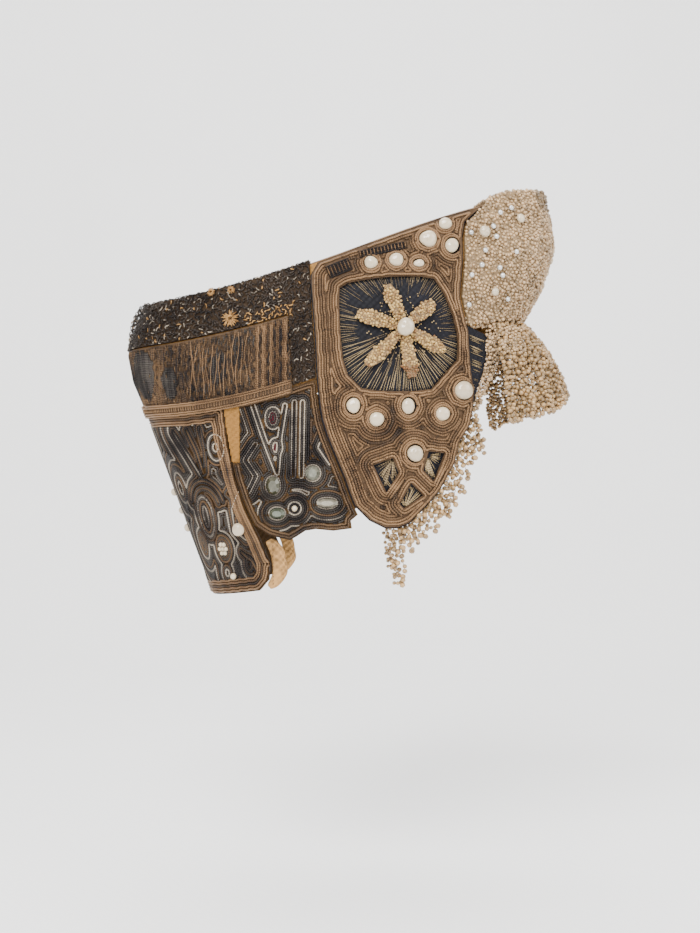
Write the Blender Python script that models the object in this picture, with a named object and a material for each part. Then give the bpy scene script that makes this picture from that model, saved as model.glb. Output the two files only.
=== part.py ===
"""A one-horned kokoshnik: a stiff hollow cap whose top rises to a pearl-covered horn, with two
ear lobes, two side panels, a back flap, a pearl net frill over the forehead and pearl fringes.

Metres, +Z up, +X to the wearer's front, +Y to the wearer's left. The origin is on the underside of
the cap's top, where the wearer's head bears.
"""

import math

import bmesh
import bpy
from mathutils import Vector
from mathutils.geometry import delaunay_2d_cdt

# The cap
CAP_LENGTH = 0.302
CAP_WIDTH = 0.164
BACK_HEIGHT = 0.2025
FRONT_HEIGHT = 0.090
TOP_RISE = 0.0805
TOP_DOME = 0.002
CAP_WALL = 0.0025

# Cloth panels, raised cordwork and the gap that sewn pieces keep
SEAM_GAP = 0.0006
PANEL_THICKNESS = 0.0018
LACE_THICKNESS = 0.0018
CORDWORK_THICKNESS = 0.0016
FLAP_BORDER_HEIGHT = 0.0010
FLAP_BORDER_WIDTH = 0.009
GALLOON_WIDTH = 0.008
LACE_TURN = 0.011
LACE_STRIP_WIDTH = 0.016

# The ear lobe, and the side panel between it and the flap
LOBE_WIDTH = 0.1205
LOBE_HEIGHT = 0.224
LOBE_REAR = -0.0637
CORDWORK_INSET = 0.0010
PANEL_DEPTH = 0.232
FLOWER_RADIUS = 0.037
FLOWER_HEIGHT = 0.0032
FLOWER_PETAL_WIDTH = 0.0100

# The horn, the frill and the fringes
HORN_THICKNESS = 0.0046
HORN_TURN = 0.024
HORN_FOOT_GAP = 0.0030
FRILL_REACH = 0.033
FRILL_DROP = 0.055
FRILL_THICKNESS = 0.0026
FRILL_RUFFLE = 0.0022
BAND_WIDTH = 0.0098
BAND_THICKNESS = 0.0030
FRINGE_THICKNESS = 0.0036
LINING_RADIUS = 0.0052

# Pearls and stones
PEARL_DIAMETER = 0.013
PEARL_FLATNESS = 0.62
PEARL_CLEARANCE = 0.0005
STONE_WIDTH = 0.0150
STONE_HEIGHT = 0.0034

# Each row is one level of the cap, from its top edge to the flap's hem: how far down the back it lies,
# its back and front ends and its sag as shares of CAP_LENGTH, its drop at the front as a share of
# FRONT_HEIGHT, and its width as a share of CAP_WIDTH.
LEVELS = (
    # down, back, front, front_drop, width, sag
    (0.000, -0.618, 0.334, 0.00, 0.90, 0.062),
    (0.165, -0.651, 0.349, 0.46, 0.97, 0.060),
    (0.353, -0.606, 0.282, 1.00, 1.00, 0.076),
    (1.000, -0.444, 0.258, 2.79, 0.93, 0.000),
)
RIM_LEVEL = LEVELS[0][0]
EDGE_LEVEL = LEVELS[2][0]
HEM_LEVEL = LEVELS[3][0]
# Rows of the cap between its rim and its lower edge, as shares of the way down.
CAP_ROWS = (0.00, 0.11, 0.22, 0.40, 0.70, 1.00)
LACE_ROW = 3
SAG_SKEW = 1.3
FRONT_SQUARENESS = 2.6
BACK_SQUARENESS = 2.8

# Outlines on the side of the cap, as shares across and down the lobe.
LOBE_REAR_EDGE = (
    # across, down
    (0.040, 0.190),
    (0.000, 0.230),
    (0.006, 0.305),
    (0.023, 0.425),
    (0.034, 0.547),
    (0.062, 0.670),
    (0.119, 0.758),
    (0.188, 0.847),
    (0.244, 0.930),
    (0.330, 0.976),
    (0.420, 1.000),
)
LOBE_FRONT_EDGE = (
    # across, down
    (0.494, 1.000),
    (0.557, 0.985),
    (0.630, 0.945),
    (0.722, 0.890),
    (0.767, 0.847),
    (0.812, 0.801),
    (0.838, 0.737),
    (0.895, 0.688),
    (0.915, 0.636),
    (0.938, 0.581),
    (0.989, 0.492),
    (1.000, 0.405),
)
CORDWORK_FRONT_EDGE = LOBE_FRONT_EDGE[:9] + (
    # across, down
    (0.920, 0.581),
    (0.903, 0.517),
    (0.892, 0.440),
    (0.888, 0.395),
)
HORN_REAR_EDGE = (
    # across, down
    (0.886, 0.385),
    (0.869, 0.339),
    (0.830, 0.254),
    (0.852, 0.220),
    (0.875, 0.135),
    (0.852, 0.086),
    (0.898, 0.050),
    (0.985, 0.010),
)
FLOWER_WINDOW = (
    # across, down
    (0.165, 0.272),
    (0.210, 0.257),
    (0.369, 0.242),
    (0.523, 0.236),
    (0.693, 0.242),
    (0.750, 0.290),
    (0.795, 0.352),
    (0.818, 0.404),
    (0.818, 0.486),
    (0.739, 0.535),
    (0.676, 0.575),
    (0.466, 0.583),
    (0.284, 0.574),
    (0.210, 0.535),
    (0.182, 0.486),
    (0.165, 0.370),
)
LOWER_WINDOWS = (
    # across, down at each corner
    ((0.352, 0.807), (0.460, 0.786), (0.494, 0.829), (0.426, 0.890)),
    ((0.562, 0.862), (0.630, 0.899), (0.523, 0.938), (0.500, 0.925)),
    ((0.659, 0.765), (0.750, 0.771), (0.688, 0.856), (0.630, 0.823)),
)
FRINGE_TIPS = (
    # across, down, from the top of the lobe's front edge to its foot
    (0.955, 0.690),
    (0.983, 0.777),
    (0.935, 0.750),
    (0.915, 0.806),
    (0.880, 0.795),
    (0.886, 0.862),
    (0.845, 0.845),
    (0.858, 0.896),
    (0.815, 0.880),
    (0.812, 0.933),
    (0.780, 0.915),
    (0.790, 0.972),
    (0.735, 0.945),
    (0.700, 1.012),
    (0.672, 0.985),
    (0.635, 1.028),
    (0.610, 1.008),
    (0.602, 1.049),
    (0.578, 1.022),
    (0.568, 1.070),
    (0.535, 1.030),
    (0.515, 1.060),
    (0.530, 1.105),
    (0.515, 1.172),
    (0.475, 1.172),
    (0.455, 1.105),
    (0.448, 1.016),
)

# Pearls of the lobe: place, and size as shares of PEARL_DIAMETER.
LOBE_PEARLS = (
    # across, down, width, height
    (0.341, 0.196, 0.68, 0.68),
    (0.483, 0.187, 0.72, 0.72),
    (0.608, 0.196, 0.60, 0.48),
    (0.659, 0.122, 0.88, 0.88),
    (0.795, 0.141, 0.74, 0.90),
    (0.756, 0.072, 0.66, 0.66),
    (0.239, 0.627, 0.74, 0.90),
    (0.369, 0.668, 0.74, 0.74),
    (0.545, 0.627, 0.74, 0.90),
    (0.735, 0.650, 0.74, 0.74),
    (0.847, 0.578, 1.00, 1.00),
    (0.580, 0.771, 0.84, 0.95),
)
FLOWER_CENTRE = (0.523, 0.391)
FLOWER_PEARL_SIZE = 0.90
# Petals of the flower: angle in degrees from the front, and length as a share of FLOWER_RADIUS.
PETALS = (
    # angle, length
    (41, 0.75),
    (111, 0.86),
    (164, 0.92),
    (226, 1.00),
    (280, 0.94),
    (331, 0.86),
)

# The flap's front edge: share down the flap, and place as a share of CAP_LENGTH.
FLAP_FRONT_EDGE = (
    # down, along
    (0.00, -0.408),
    (0.12, -0.403),
    (0.38, -0.382),
    (0.54, -0.360),
    (0.69, -0.332),
    (0.82, -0.307),
    (0.89, -0.300),
    (0.95, -0.305),
    (1.00, -0.325),
)
# The side panel's scalloped hem: share from flap to lobe, and share of PANEL_DEPTH.
PANEL_HEM = (
    # across, down
    (0.000, 0.955),
    (0.080, 0.985),
    (0.230, 1.000),
    (0.290, 0.990),
    (0.380, 0.972),
    (0.465, 0.967),
    (0.600, 0.972),
    (0.750, 0.965),
    (0.850, 0.942),
    (0.960, 0.925),
)
# Stones of the side panel: share across, share of PANEL_DEPTH, and size as shares of STONE_WIDTH.
STONES = (
    # name, across, down, width, height, sides
    ("clear", 0.735, 0.802, 0.66, 0.66, 10),
    ("olive", 0.330, 0.838, 0.64, 0.82, 10),
    ("green", 0.260, 0.920, 0.74, 0.48, 10),
    ("oblong", 0.770, 0.890, 1.00, 0.42, 8),
)
FLAP_PEARL_DOWN = 0.66
FLAP_PEARL_SIZE = 0.68
FLAP_PEARL_INSET = 0.009

# The frill, from the middle of the forehead to the temple: reach and drop as shares of FRILL_REACH
# and FRILL_DROP at each share of the way round.
FRILL_SPREAD = (
    # around, reach, drop
    (0.00, 1.00, 0.95),
    (0.25, 0.97, 1.02),
    (0.50, 0.85, 1.14),
    (0.75, 0.62, 1.20),
    (1.00, 0.42, 1.27),
)
# The frill's own curve: share of the reach and of the drop, from root to free edge.
FRILL_PROFILE = (
    # out, down
    (0.00, 0.00),
    (0.24, 0.12),
    (0.48, 0.30),
    (0.68, 0.50),
    (0.84, 0.72),
    (1.00, 1.00),
)
FRILL_GATHERS = 10
FRILL_END = 0.207
# The lining's roll at the flap's front corner: share down the flap, place as a share of CAP_LENGTH
# ahead of the flap's front edge, and radius as a share of LINING_RADIUS.
LINING_ROLL = (
    # down, ahead, radius
    (0.745, 0.0150, 0.55),
    (0.785, 0.0175, 0.92),
    (0.830, 0.0190, 1.00),
    (0.880, 0.0195, 1.00),
    (0.930, 0.0195, 0.96),
    (0.970, 0.0180, 0.80),
    (0.992, 0.0150, 0.45),
)

# Facets
CAP_SIDES = 44
TOP_RINGS = (0.84, 0.45)
PANEL_STEP = 0.017
EDGE_STEP = 0.0105
PEARL_SIDES = 10
PEARL_RINGS = 4
ROLL_SIDES = 8

MATERIALS = {
    # base colour, roughness, metallic
    "ochre_silk": ((0.52, 0.30, 0.10), 0.62, 0.0),
    "cream_lining": ((0.72, 0.50, 0.24), 0.85, 0.0),
    "metal_lace": ((0.10, 0.08, 0.06), 0.50, 0.45),
    "brocade": ((0.16, 0.11, 0.06), 0.55, 0.35),
    "gold_galloon": ((0.40, 0.27, 0.14), 0.45, 0.60),
    "flap_embroidery": ((0.15, 0.11, 0.07), 0.50, 0.45),
    "dark_velvet": ((0.035, 0.036, 0.045), 0.80, 0.0),
    "gold_cordwork": ((0.36, 0.23, 0.12), 0.42, 0.60),
    "seed_pearl": ((0.62, 0.50, 0.35), 0.32, 0.0),
    "flower_pearl": ((0.60, 0.44, 0.20), 0.38, 0.0),
    "white_pearl": ((0.86, 0.80, 0.70), 0.22, 0.0),
    "clear_glass": ((0.70, 0.72, 0.66), 0.08, 0.0),
    "green_glass": ((0.22, 0.24, 0.16), 0.12, 0.0),
}


# The cap's surface


def between(rows, at, column):
    """Value of a column of a table whose first column rises, on a smooth line through its rows."""
    keys = [row[0] for row in rows]
    last = len(rows) - 1
    i = 0
    while i < last - 1 and at > keys[i + 1]:
        i += 1
    slopes = []
    for k in (i, i + 1):
        low, high = max(k - 1, 0), min(k + 1, last)
        slopes.append((rows[high][column] - rows[low][column]) / (keys[high] - keys[low]))
    if at < keys[0]:
        return rows[0][column] + slopes[0] * (at - keys[0])
    if at > keys[last]:
        return rows[last][column] + slopes[1] * (at - keys[last])
    step = keys[i + 1] - keys[i]
    t = (at - keys[i]) / step
    start, end = rows[i][column], rows[i + 1][column]
    return (
        start * (1 + 2 * t) * (1 - t) ** 2
        + end * t * t * (3 - 2 * t)
        + step * slopes[0] * t * (1 - t) ** 2
        - step * slopes[1] * t * t * (1 - t)
    )


def level_ends(level):
    """The back and front end of a level, and its half width."""
    back = between(LEVELS, level, 1) * CAP_LENGTH
    front = between(LEVELS, level, 2) * CAP_LENGTH
    half = between(LEVELS, level, 4) * CAP_WIDTH / 2
    return back, front, half


def height_under_rim(level, x):
    """Height of a level at x, from the back end of the cap's top edge."""
    back, front, _ = level_ends(level)
    u = (x - back) / (front - back)
    at_back = -level * BACK_HEIGHT
    at_front = TOP_RISE - between(LEVELS, level, 3) * FRONT_HEIGHT
    sag = between(LEVELS, level, 5) * CAP_LENGTH
    return at_back + (at_front - at_back) * u - sag * 4 * u * (1 - u) * (1 - SAG_SKEW * u)


def dome_height(x, y):
    """How far the cap's top stands above its edge."""
    back, front, half = level_ends(RIM_LEVEL)
    u = abs(2 * x - back - front) / (front - back)
    v = abs(y) / half
    squareness = (FRONT_SQUARENESS + BACK_SQUARENESS) / 2
    share = (u**squareness + v**squareness) ** (2 / squareness)
    return TOP_DOME * max(0.0, 1 - share)


RIM_BACK_Z = CAP_WALL - height_under_rim(RIM_LEVEL, 0.0) - dome_height(0.0, 0.0)


def level_z(level, x):
    return RIM_BACK_Z + height_under_rim(level, x)


def skin(angle, level):
    """A point of the cap's outer surface: angle 0 is the front, a quarter turn the wearer's left."""
    back, front, half = level_ends(level)
    c, s = math.cos(angle), math.sin(angle)
    squareness = FRONT_SQUARENESS if c > 0 else BACK_SQUARENESS
    u = math.copysign(abs(c) ** (2 / squareness), c)
    v = math.copysign(abs(s) ** (2 / squareness), s)
    x = (front + back) / 2 + u * (front - back) / 2
    return Vector((x, v * half, level_z(level, x)))


def skin_normal(angle, level):
    """The outward direction of the cap's surface."""
    turn, drop = 0.02, 0.01
    around = skin(angle + turn, level) - skin(angle - turn, level)
    down = skin(angle, level + drop) - skin(angle, level - drop)
    return down.cross(around).normalized()


def angle_at(level, x):
    """Angle, on the wearer's left, at which a level reaches x."""
    back, front, _ = level_ends(level)
    u = (2 * x - back - front) / (front - back)
    u = max(-0.9999, min(0.9999, u))
    squareness = FRONT_SQUARENESS if u > 0 else BACK_SQUARENESS
    return math.acos(math.copysign(abs(u) ** (squareness / 2), u))


def level_at(x, z):
    """The level that passes through a place seen from the side."""
    low, high = -0.3, 2.0
    for _ in range(40):
        middle = (low + high) / 2
        if level_z(middle, x) > z:
            low = middle
        else:
            high = middle
    return (low + high) / 2


def top_point(angle, inset, above):
    """A point above the cap's top, a given way in from its edge."""
    edge = skin(angle, RIM_LEVEL)
    place = edge + inward_of_rim(angle) * inset
    place.z = level_z(RIM_LEVEL, place.x) + dome_height(place.x, place.y)
    return place + above * top_normal(place.x)


def top_normal(x):
    step = 0.001
    slope = (level_z(RIM_LEVEL, x + step) - level_z(RIM_LEVEL, x - step)) / (2 * step)
    return Vector((-slope, 0.0, 1.0)).normalized()


def spread(first, last, count):
    return [first + (last - first) * i / (count - 1) for i in range(count)]


def cap_levels():
    """The levels that every piece lying on the cap shares, from the rim to its lower edge."""
    return [RIM_LEVEL + (EDGE_LEVEL - RIM_LEVEL) * share for share in CAP_ROWS]


# Meshes


def material(name):
    found = bpy.data.materials.get(name)
    if found:
        return found
    colour, roughness, metallic = MATERIALS[name]
    made = bpy.data.materials.new(name)
    made.use_nodes = True
    shader = made.node_tree.nodes["Principled BSDF"]
    shader.inputs["Base Color"].default_value = (*colour, 1.0)
    shader.inputs["Roughness"].default_value = roughness
    shader.inputs["Metallic"].default_value = metallic
    made.diffuse_color = (*colour, 1.0)
    return made


def add_object(name, points, faces, finish, smooth_under=40):
    """A closed body from its points and faces, facing outward."""
    mesh = bpy.data.meshes.new(name)
    mesh.from_pydata([tuple(p) for p in points], [], [tuple(f) for f in faces])
    work = bmesh.new()
    work.from_mesh(mesh)
    bmesh.ops.recalc_face_normals(work, faces=work.faces)
    if work.calc_volume(signed=True) < 0:
        bmesh.ops.reverse_faces(work, faces=work.faces)
    work.to_mesh(mesh)
    work.free()
    mesh.shade_smooth()
    mesh.set_sharp_from_angle(angle=math.radians(smooth_under))
    mesh.materials.append(material(finish))
    made = bpy.data.objects.new(name, mesh)
    bpy.context.scene.collection.objects.link(made)
    return made


def slab(name, outer, inner, faces, finish):
    """A wall between two layers of points that share their faces, closed round its edges."""
    count = len(outer)
    edges = {(f[i], f[(i + 1) % len(f)]) for f in faces for i in range(len(f))}
    walls = [(b, a, a + count, b + count) for a, b in edges if (b, a) not in edges]
    walls.sort()
    under = [tuple(i + count for i in reversed(f)) for f in faces]
    return add_object(name, list(outer) + list(inner), list(faces) + under + walls, finish)


def grid_faces(rows, columns, keep=lambda row, column: True, closed=False):
    """Faces between neighbouring points of a grid, where keep allows them."""
    faces = []
    for r in range(rows - 1):
        for c in range(columns if closed else columns - 1):
            if keep(r, c):
                d = (c + 1) % columns
                a, b = r * columns, (r + 1) * columns
                faces.append((a + c, a + d, b + d, b + c))
    return faces


def wrap(name, levels, angles, low, high, finish, keep=lambda row, column: True):
    """A wall that follows the cap, a row of angles for each level, from depth low to depth high."""
    outer, inner = [], []
    for r, level in enumerate(levels):
        for c, angle in enumerate(angles[r]):
            base, normal = skin(angle, level), skin_normal(angle, level)
            inner.append(base + normal * low)
            outer.append(base + normal * (high(r, c) if callable(high) else high))
    return slab(name, outer, inner, grid_faces(len(levels), len(angles[0]), keep), finish)


# Outlines on the side of the cap, as x and z


def on_lobe(across, down):
    return LOBE_REAR + across * LOBE_WIDTH, LOBE_TOP - down * LOBE_HEIGHT


LOBE_TOP = level_z(RIM_LEVEL, LOBE_REAR + LOBE_WIDTH) + SEAM_GAP


def spline_value(t, before, start, end, after):
    """A value a share t of the way from start to end, on a smooth line through four values."""
    bend = 2 * before - 5 * start + 4 * end - after
    twist = 3 * start - before - 3 * end + after
    return 0.5 * (2 * start + (end - before) * t + bend * t * t + twist * t**3)


def curve_through(points, step, closed=False):
    """Points a step apart on a smooth line through the given ones."""
    count = len(points)
    line = []
    for i in range(count if closed else count - 1):
        if closed:
            before, start, end, after = (points[(i + k) % count] for k in (-1, 0, 1, 2))
        else:
            before, start, end, after = (points[min(max(i + k, 0), count - 1)] for k in (-1, 0, 1, 2))
        pieces = max(1, round(math.dist(start, end) / step))
        for k in range(pieces):
            t = k / pieces
            line.append(tuple(spline_value(t, *ends) for ends in zip(before, start, end, after)))
    if not closed:
        line.append(tuple(points[-1]))
    return line


def x_on(edge, z):
    """Where an edge given by points of falling or rising z is at height z."""
    rows = sorted((p[1], p[0]) for p in edge)
    if z <= rows[0][0]:
        return rows[0][1]
    for low, high in zip(rows, rows[1:]):
        if z <= high[0]:
            return low[1] + (high[1] - low[1]) * (z - low[0]) / max(high[0] - low[0], 1e-9)
    return rows[-1][1]


def horn_edge_line():
    """Where the horn's rear edge crosses each of its levels, from foot to rim: level, x and z."""
    drawn = curve_through([on_lobe(*row) for row in HORN_REAR_EDGE], EDGE_STEP)
    foot = EDGE_LEVEL - HORN_FOOT_GAP / BACK_HEIGHT
    line = []
    for level in [foot] + [level for level in reversed(cap_levels()) if level < foot]:
        x = LOBE_REAR + LOBE_WIDTH
        for _ in range(12):
            x = (x + x_on(drawn, level_z(level, x))) / 2
        line.append((level, x, level_z(level, x)))
    return line


def flap_edge_x(down):
    return between(FLAP_FRONT_EDGE, down, 1) * CAP_LENGTH


def flap_level(down):
    return EDGE_LEVEL + (HEM_LEVEL - EDGE_LEVEL) * down


def flap_edge_line():
    line = []
    for down in spread(0.0, 1.0, 17):
        x = flap_edge_x(down)
        line.append((x, level_z(flap_level(down), x)))
    return line


def lobe_outline(front_edge, inset):
    """The lobe's outline, from its top rear corner round its foot to the horn and back along the rim."""
    rear = curve_through([on_lobe(*row) for row in LOBE_REAR_EDGE + front_edge], EDGE_STEP)
    horn = [(x - SEAM_GAP, z) for _, x, z in horn_edge_line()]
    first, last = horn[-1][0], rear[0][0]
    count = max(3, round((first - last) / EDGE_STEP))
    rim = [(x, level_z(RIM_LEVEL, x) - SEAM_GAP) for x in spread(first, last, count + 1)]
    outline = rear + horn[:-1] + rim[:-1]
    return inset_outline(outline, inset) if inset else outline


def inset_outline(outline, inset):
    """An outline drawn in by a small amount."""
    count = len(outline)
    turning = math.copysign(1.0, outline_area(outline))
    drawn = []
    for i in range(count):
        before, after = Vector(outline[i - 1]), Vector(outline[(i + 1) % count])
        along = (after - before).normalized()
        drawn.append((outline[i][0] - along.y * inset * turning, outline[i][1] + along.x * inset * turning))
    return drawn


def outline_area(outline):
    return sum(a[0] * b[1] - b[0] * a[1] for a, b in zip(outline, outline[1:] + outline[:1])) / 2


def inside(point, outline):
    x, z = point
    hits = 0
    for a, b in zip(outline, outline[1:] + outline[:1]):
        if (a[1] > z) != (b[1] > z) and x < a[0] + (b[0] - a[0]) * (z - a[1]) / (b[1] - a[1]):
            hits += 1
    return hits % 2 == 1


def far_from(point, line, distance):
    """Whether a point keeps a distance from every edge of a closed line."""
    p = Vector(point)
    for a, b in zip(line, line[1:] + line[:1]):
        start, along = Vector(a), Vector(b) - Vector(a)
        share = max(0.0, min(1.0, (p - start).dot(along) / max(along.length_squared, 1e-12)))
        if (p - start - along * share).length < distance:
            return False
    return True


def side_panel_mesh(name, outline, holes, low, high, side, finish):
    """A wall on one side of the cap, cut to an outline seen from that side, with holes."""
    loops = [outline, *holes]
    points, edges = [], []
    for loop in loops:
        first = len(points)
        points.extend(loop)
        edges.extend((first + i, first + (i + 1) % len(loop)) for i in range(len(loop)))
    xs, zs = [p[0] for p in outline], [p[1] for p in outline]
    row = 0
    z = min(zs) + PANEL_STEP / 2
    while z < max(zs):
        x = min(xs) + PANEL_STEP * (0.25 + 0.5 * (row % 2))
        while x < max(xs):
            spot = (x, z)
            clear = all(far_from(spot, loop, PANEL_STEP * 0.45) for loop in loops)
            if clear and inside(spot, outline) and not any(inside(spot, hole) for hole in holes):
                points.append(spot)
            x += PANEL_STEP
        row += 1
        z += PANEL_STEP
    flat, _, triangles, *_ = delaunay_2d_cdt([Vector(p) for p in points], edges, [], 0, 1e-7)
    faces = []
    for triangle in triangles:
        middle = sum((flat[i] for i in triangle), Vector((0.0, 0.0))) / 3
        if inside(middle, outline) and not any(inside(middle, hole) for hole in holes):
            faces.append(tuple(triangle))
    outer = [on_side(p[0], p[1], high, side) for p in flat]
    inner = [on_side(p[0], p[1], low, side) for p in flat]
    used = sorted({i for f in faces for i in f})
    index = {old: new for new, old in enumerate(used)}
    faces = [tuple(index[i] for i in f) for f in faces]
    return slab(name, [outer[i] for i in used], [inner[i] for i in used], faces, finish)


def on_side(x, z, above, side):
    """A point on or above the cap's side, by its place seen from the side; side is 1 for the left."""
    level = level_at(x, z)
    angle = angle_at(level, x)
    place = skin(angle, level) + skin_normal(angle, level) * above
    return Vector((place.x, place.y * side, place.z))


def side_frame(x, z, side):
    """The outward direction at a place on the side, and two directions along the surface there."""
    level = level_at(x, z)
    angle = angle_at(level, x)
    normal = skin_normal(angle, level)
    normal = Vector((normal.x, normal.y * side, normal.z))
    upward = (Vector((0.0, 0.0, 1.0)) - normal * normal.z).normalized()
    return normal, upward.cross(normal).normalized() * side, upward


# Sub-parts


def make_crown_shell():
    """The stiff wall of the cap, from the rim to its lower edge."""
    levels = cap_levels()
    outer, inner = [], []
    for level in levels:
        for angle in cap_angles():
            base, normal = skin(angle, level), skin_normal(angle, level)
            outer.append(base)
            if level == RIM_LEVEL:
                under = base + inward_of_rim(angle) * CAP_WALL
                under.z = level_z(RIM_LEVEL, under.x)
                inner.append(under)
            else:
                inner.append(base - normal * CAP_WALL)
    slab("crown_shell", outer, inner, grid_faces(len(levels), CAP_SIDES, closed=True), "ochre_silk")


def make_crown_top():
    """The stiff top of the cap, sewn in just inside its wall."""
    back, front, _ = level_ends(RIM_LEVEL)
    middle = (back + front) / 2
    upper = []
    for angle in cap_angles():
        edge = skin(angle, RIM_LEVEL) + inward_of_rim(angle) * (CAP_WALL + SEAM_GAP)
        upper.append((edge.x, edge.y))
    for share in TOP_RINGS:
        for angle in cap_angles():
            edge = skin(angle, RIM_LEVEL)
            upper.append((middle + (edge.x - middle) * share, edge.y * share))
    upper.append((middle, 0.0))
    outer = [Vector((x, y, level_z(RIM_LEVEL, x) + dome_height(x, y))) for x, y in upper]
    inner = [place - Vector((0.0, 0.0, CAP_WALL)) for place in outer]
    faces = [face[::-1] for face in grid_faces(1 + len(TOP_RINGS), CAP_SIDES, closed=True)]
    last = len(outer) - 1 - CAP_SIDES
    faces += [(last + (c + 1) % CAP_SIDES, last + c, len(outer) - 1) for c in range(CAP_SIDES)]
    slab("crown_top", outer, inner, faces, "ochre_silk")


def cap_angles():
    return [2 * math.pi * i / CAP_SIDES for i in range(CAP_SIDES)]


def inward_of_rim(angle):
    """The level direction from the cap's top edge towards its middle."""
    normal = skin_normal(angle, RIM_LEVEL)
    return Vector((-normal.x, -normal.y, 0.0)).normalized()


def lobe_rear_angles(level, gap, count, strip=0.0):
    """Angles from just behind one lobe round the back to the other, at one level."""
    rear = [on_lobe(*row) for row in LOBE_REAR_EDGE]
    x = LOBE_REAR
    for _ in range(6):
        x = x_on(rear[1:], level_z(level, x)) - gap - strip
    first = angle_at(level, x)
    return spread(first, 2 * math.pi - first, count)


def make_crown_lace():
    """The dark metal lace: a band below the rim, turned over it, and a strip down behind each lobe."""
    count, strip = 37, 1
    low, high = SEAM_GAP, SEAM_GAP + LACE_THICKNESS
    levels = cap_levels()
    levels[-1] -= SEAM_GAP / BACK_HEIGHT
    outer, inner = [], []
    for inset in (LACE_TURN, LACE_TURN / 2):
        for angle in lace_angles(RIM_LEVEL, count, strip):
            outer.append(top_point(angle, inset, high))
            inner.append(top_point(angle, inset, low))
    for level in levels:
        for angle in lace_angles(level, count, strip):
            base, normal = skin(angle, level), skin_normal(angle, level)
            if level == RIM_LEVEL:
                flat = Vector((normal.x, normal.y, 0.0)).normalized() + top_normal(base.x)
                outer.append(base + flat * high)
                inner.append(base + flat * low)
            else:
                outer.append(base + normal * high)
                inner.append(base + normal * low)
    band_rows = LACE_ROW + 2

    def keep(row, column):
        return row < band_rows or column < strip or column >= count - 1 - strip

    slab("crown_lace", outer, inner, grid_faces(len(levels) + 2, count, keep), "metal_lace")


def lace_angles(level, count, strip):
    """Stations of the lace at one level: the strip's width first at each end, then evenly between."""
    outside = lobe_rear_angles(level, SEAM_GAP, 2)
    within = lobe_rear_angles(level, SEAM_GAP, count - 2 * strip, LACE_STRIP_WIDTH)
    ends = spread(outside[0], within[0], strip + 1)[:-1]
    return ends + within + [2 * math.pi - a for a in reversed(ends)]


def make_brocade_band():
    levels = cap_levels()[LACE_ROW:]
    levels[0] += 2 * SEAM_GAP / BACK_HEIGHT
    levels[-1] -= SEAM_GAP / BACK_HEIGHT
    gap = 2 * SEAM_GAP + LACE_STRIP_WIDTH
    angles = [lobe_rear_angles(level, gap, 33) for level in levels]
    wrap("brocade_band", levels, angles, SEAM_GAP, SEAM_GAP + PANEL_THICKNESS, "brocade")


def make_galloon():
    """The gold braid over the seam between the band and the flap."""
    half = GALLOON_WIDTH / 2 / BACK_HEIGHT
    levels = spread(EDGE_LEVEL - half, EDGE_LEVEL + half, 3)
    low = 2 * SEAM_GAP + PANEL_THICKNESS
    gap = 2 * SEAM_GAP + LACE_STRIP_WIDTH
    angles = [lobe_rear_angles(level, gap, 33) for level in levels]

    def high(row, column):
        return low + CORDWORK_THICKNESS * (1.0 if row == 1 else 0.75)

    wrap("galloon", levels, angles, low, high, "gold_galloon")


def make_back_flap():
    """The flap over the nape, with its raised gold border."""
    downs = [0.012, 0.20, 0.38, 0.56, 0.74, 0.86, 0.95, 1.0]
    columns = 25
    levels = [flap_level(down) for down in downs]
    angles = []
    for down, level in zip(downs, levels):
        edge = angle_at(level, flap_edge_x(down))
        border = angle_at(level, flap_edge_x(down) - FLAP_BORDER_WIDTH)
        middle = spread(border, 2 * math.pi - border, columns - 2)
        angles.append([edge, *middle, 2 * math.pi - edge])
    low = SEAM_GAP
    high = low + PANEL_THICKNESS

    def height(row, column):
        raised = row > 0 and (row >= len(downs) - 2 or column <= 1 or column >= columns - 2)
        return high + (FLAP_BORDER_HEIGHT if raised else 0.0)

    wrap("back_flap", levels, angles, low, height, "flap_embroidery")


def make_flap_lining(side, name):
    """The padded lining that rolls out past the flap's front corner."""
    centres = []
    for down, ahead, radius in LINING_ROLL:
        x = flap_edge_x(down) + ahead * CAP_LENGTH
        z = level_z(flap_level(down), x)
        centres.append((on_side(x, z, -0.15 * LINING_RADIUS, side), radius * LINING_RADIUS))
    points, faces = [centres[0][0]], []
    for i, (centre, radius) in enumerate(centres):
        before = centres[max(i - 1, 0)][0]
        after = centres[min(i + 1, len(centres) - 1)][0]
        along = (after - before).normalized()
        out = Vector((0.0, side, 0.0))
        out = (out - along * out.dot(along)).normalized()
        across = along.cross(out)
        for k in range(ROLL_SIDES):
            turn = 2 * math.pi * k / ROLL_SIDES
            points.append(centre + radius * (out * math.sin(turn) * 0.8 + across * math.cos(turn)))
    points.append(centres[-1][0])
    for k in range(ROLL_SIDES):
        n = (k + 1) % ROLL_SIDES
        faces.append((0, 1 + n, 1 + k))
        for r in range(len(centres) - 1):
            a, b = 1 + r * ROLL_SIDES, 1 + (r + 1) * ROLL_SIDES
            faces.append((a + k, a + n, b + n, b + k))
        last = 1 + (len(centres) - 1) * ROLL_SIDES
        faces.append((last + k, last + n, len(points) - 1))
    add_object(name, points, faces, "cream_lining")


def panel_place(across, down):
    """A place on the side panel, by its shares from flap to lobe and down PANEL_DEPTH."""
    z = LOBE_TOP - down * PANEL_DEPTH
    rear = x_on(flap_edge_line(), z) + SEAM_GAP
    front = x_on([on_lobe(*row) for row in LOBE_REAR_EDGE[1:]], z) - SEAM_GAP
    return rear + (front - rear) * across, z


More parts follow.
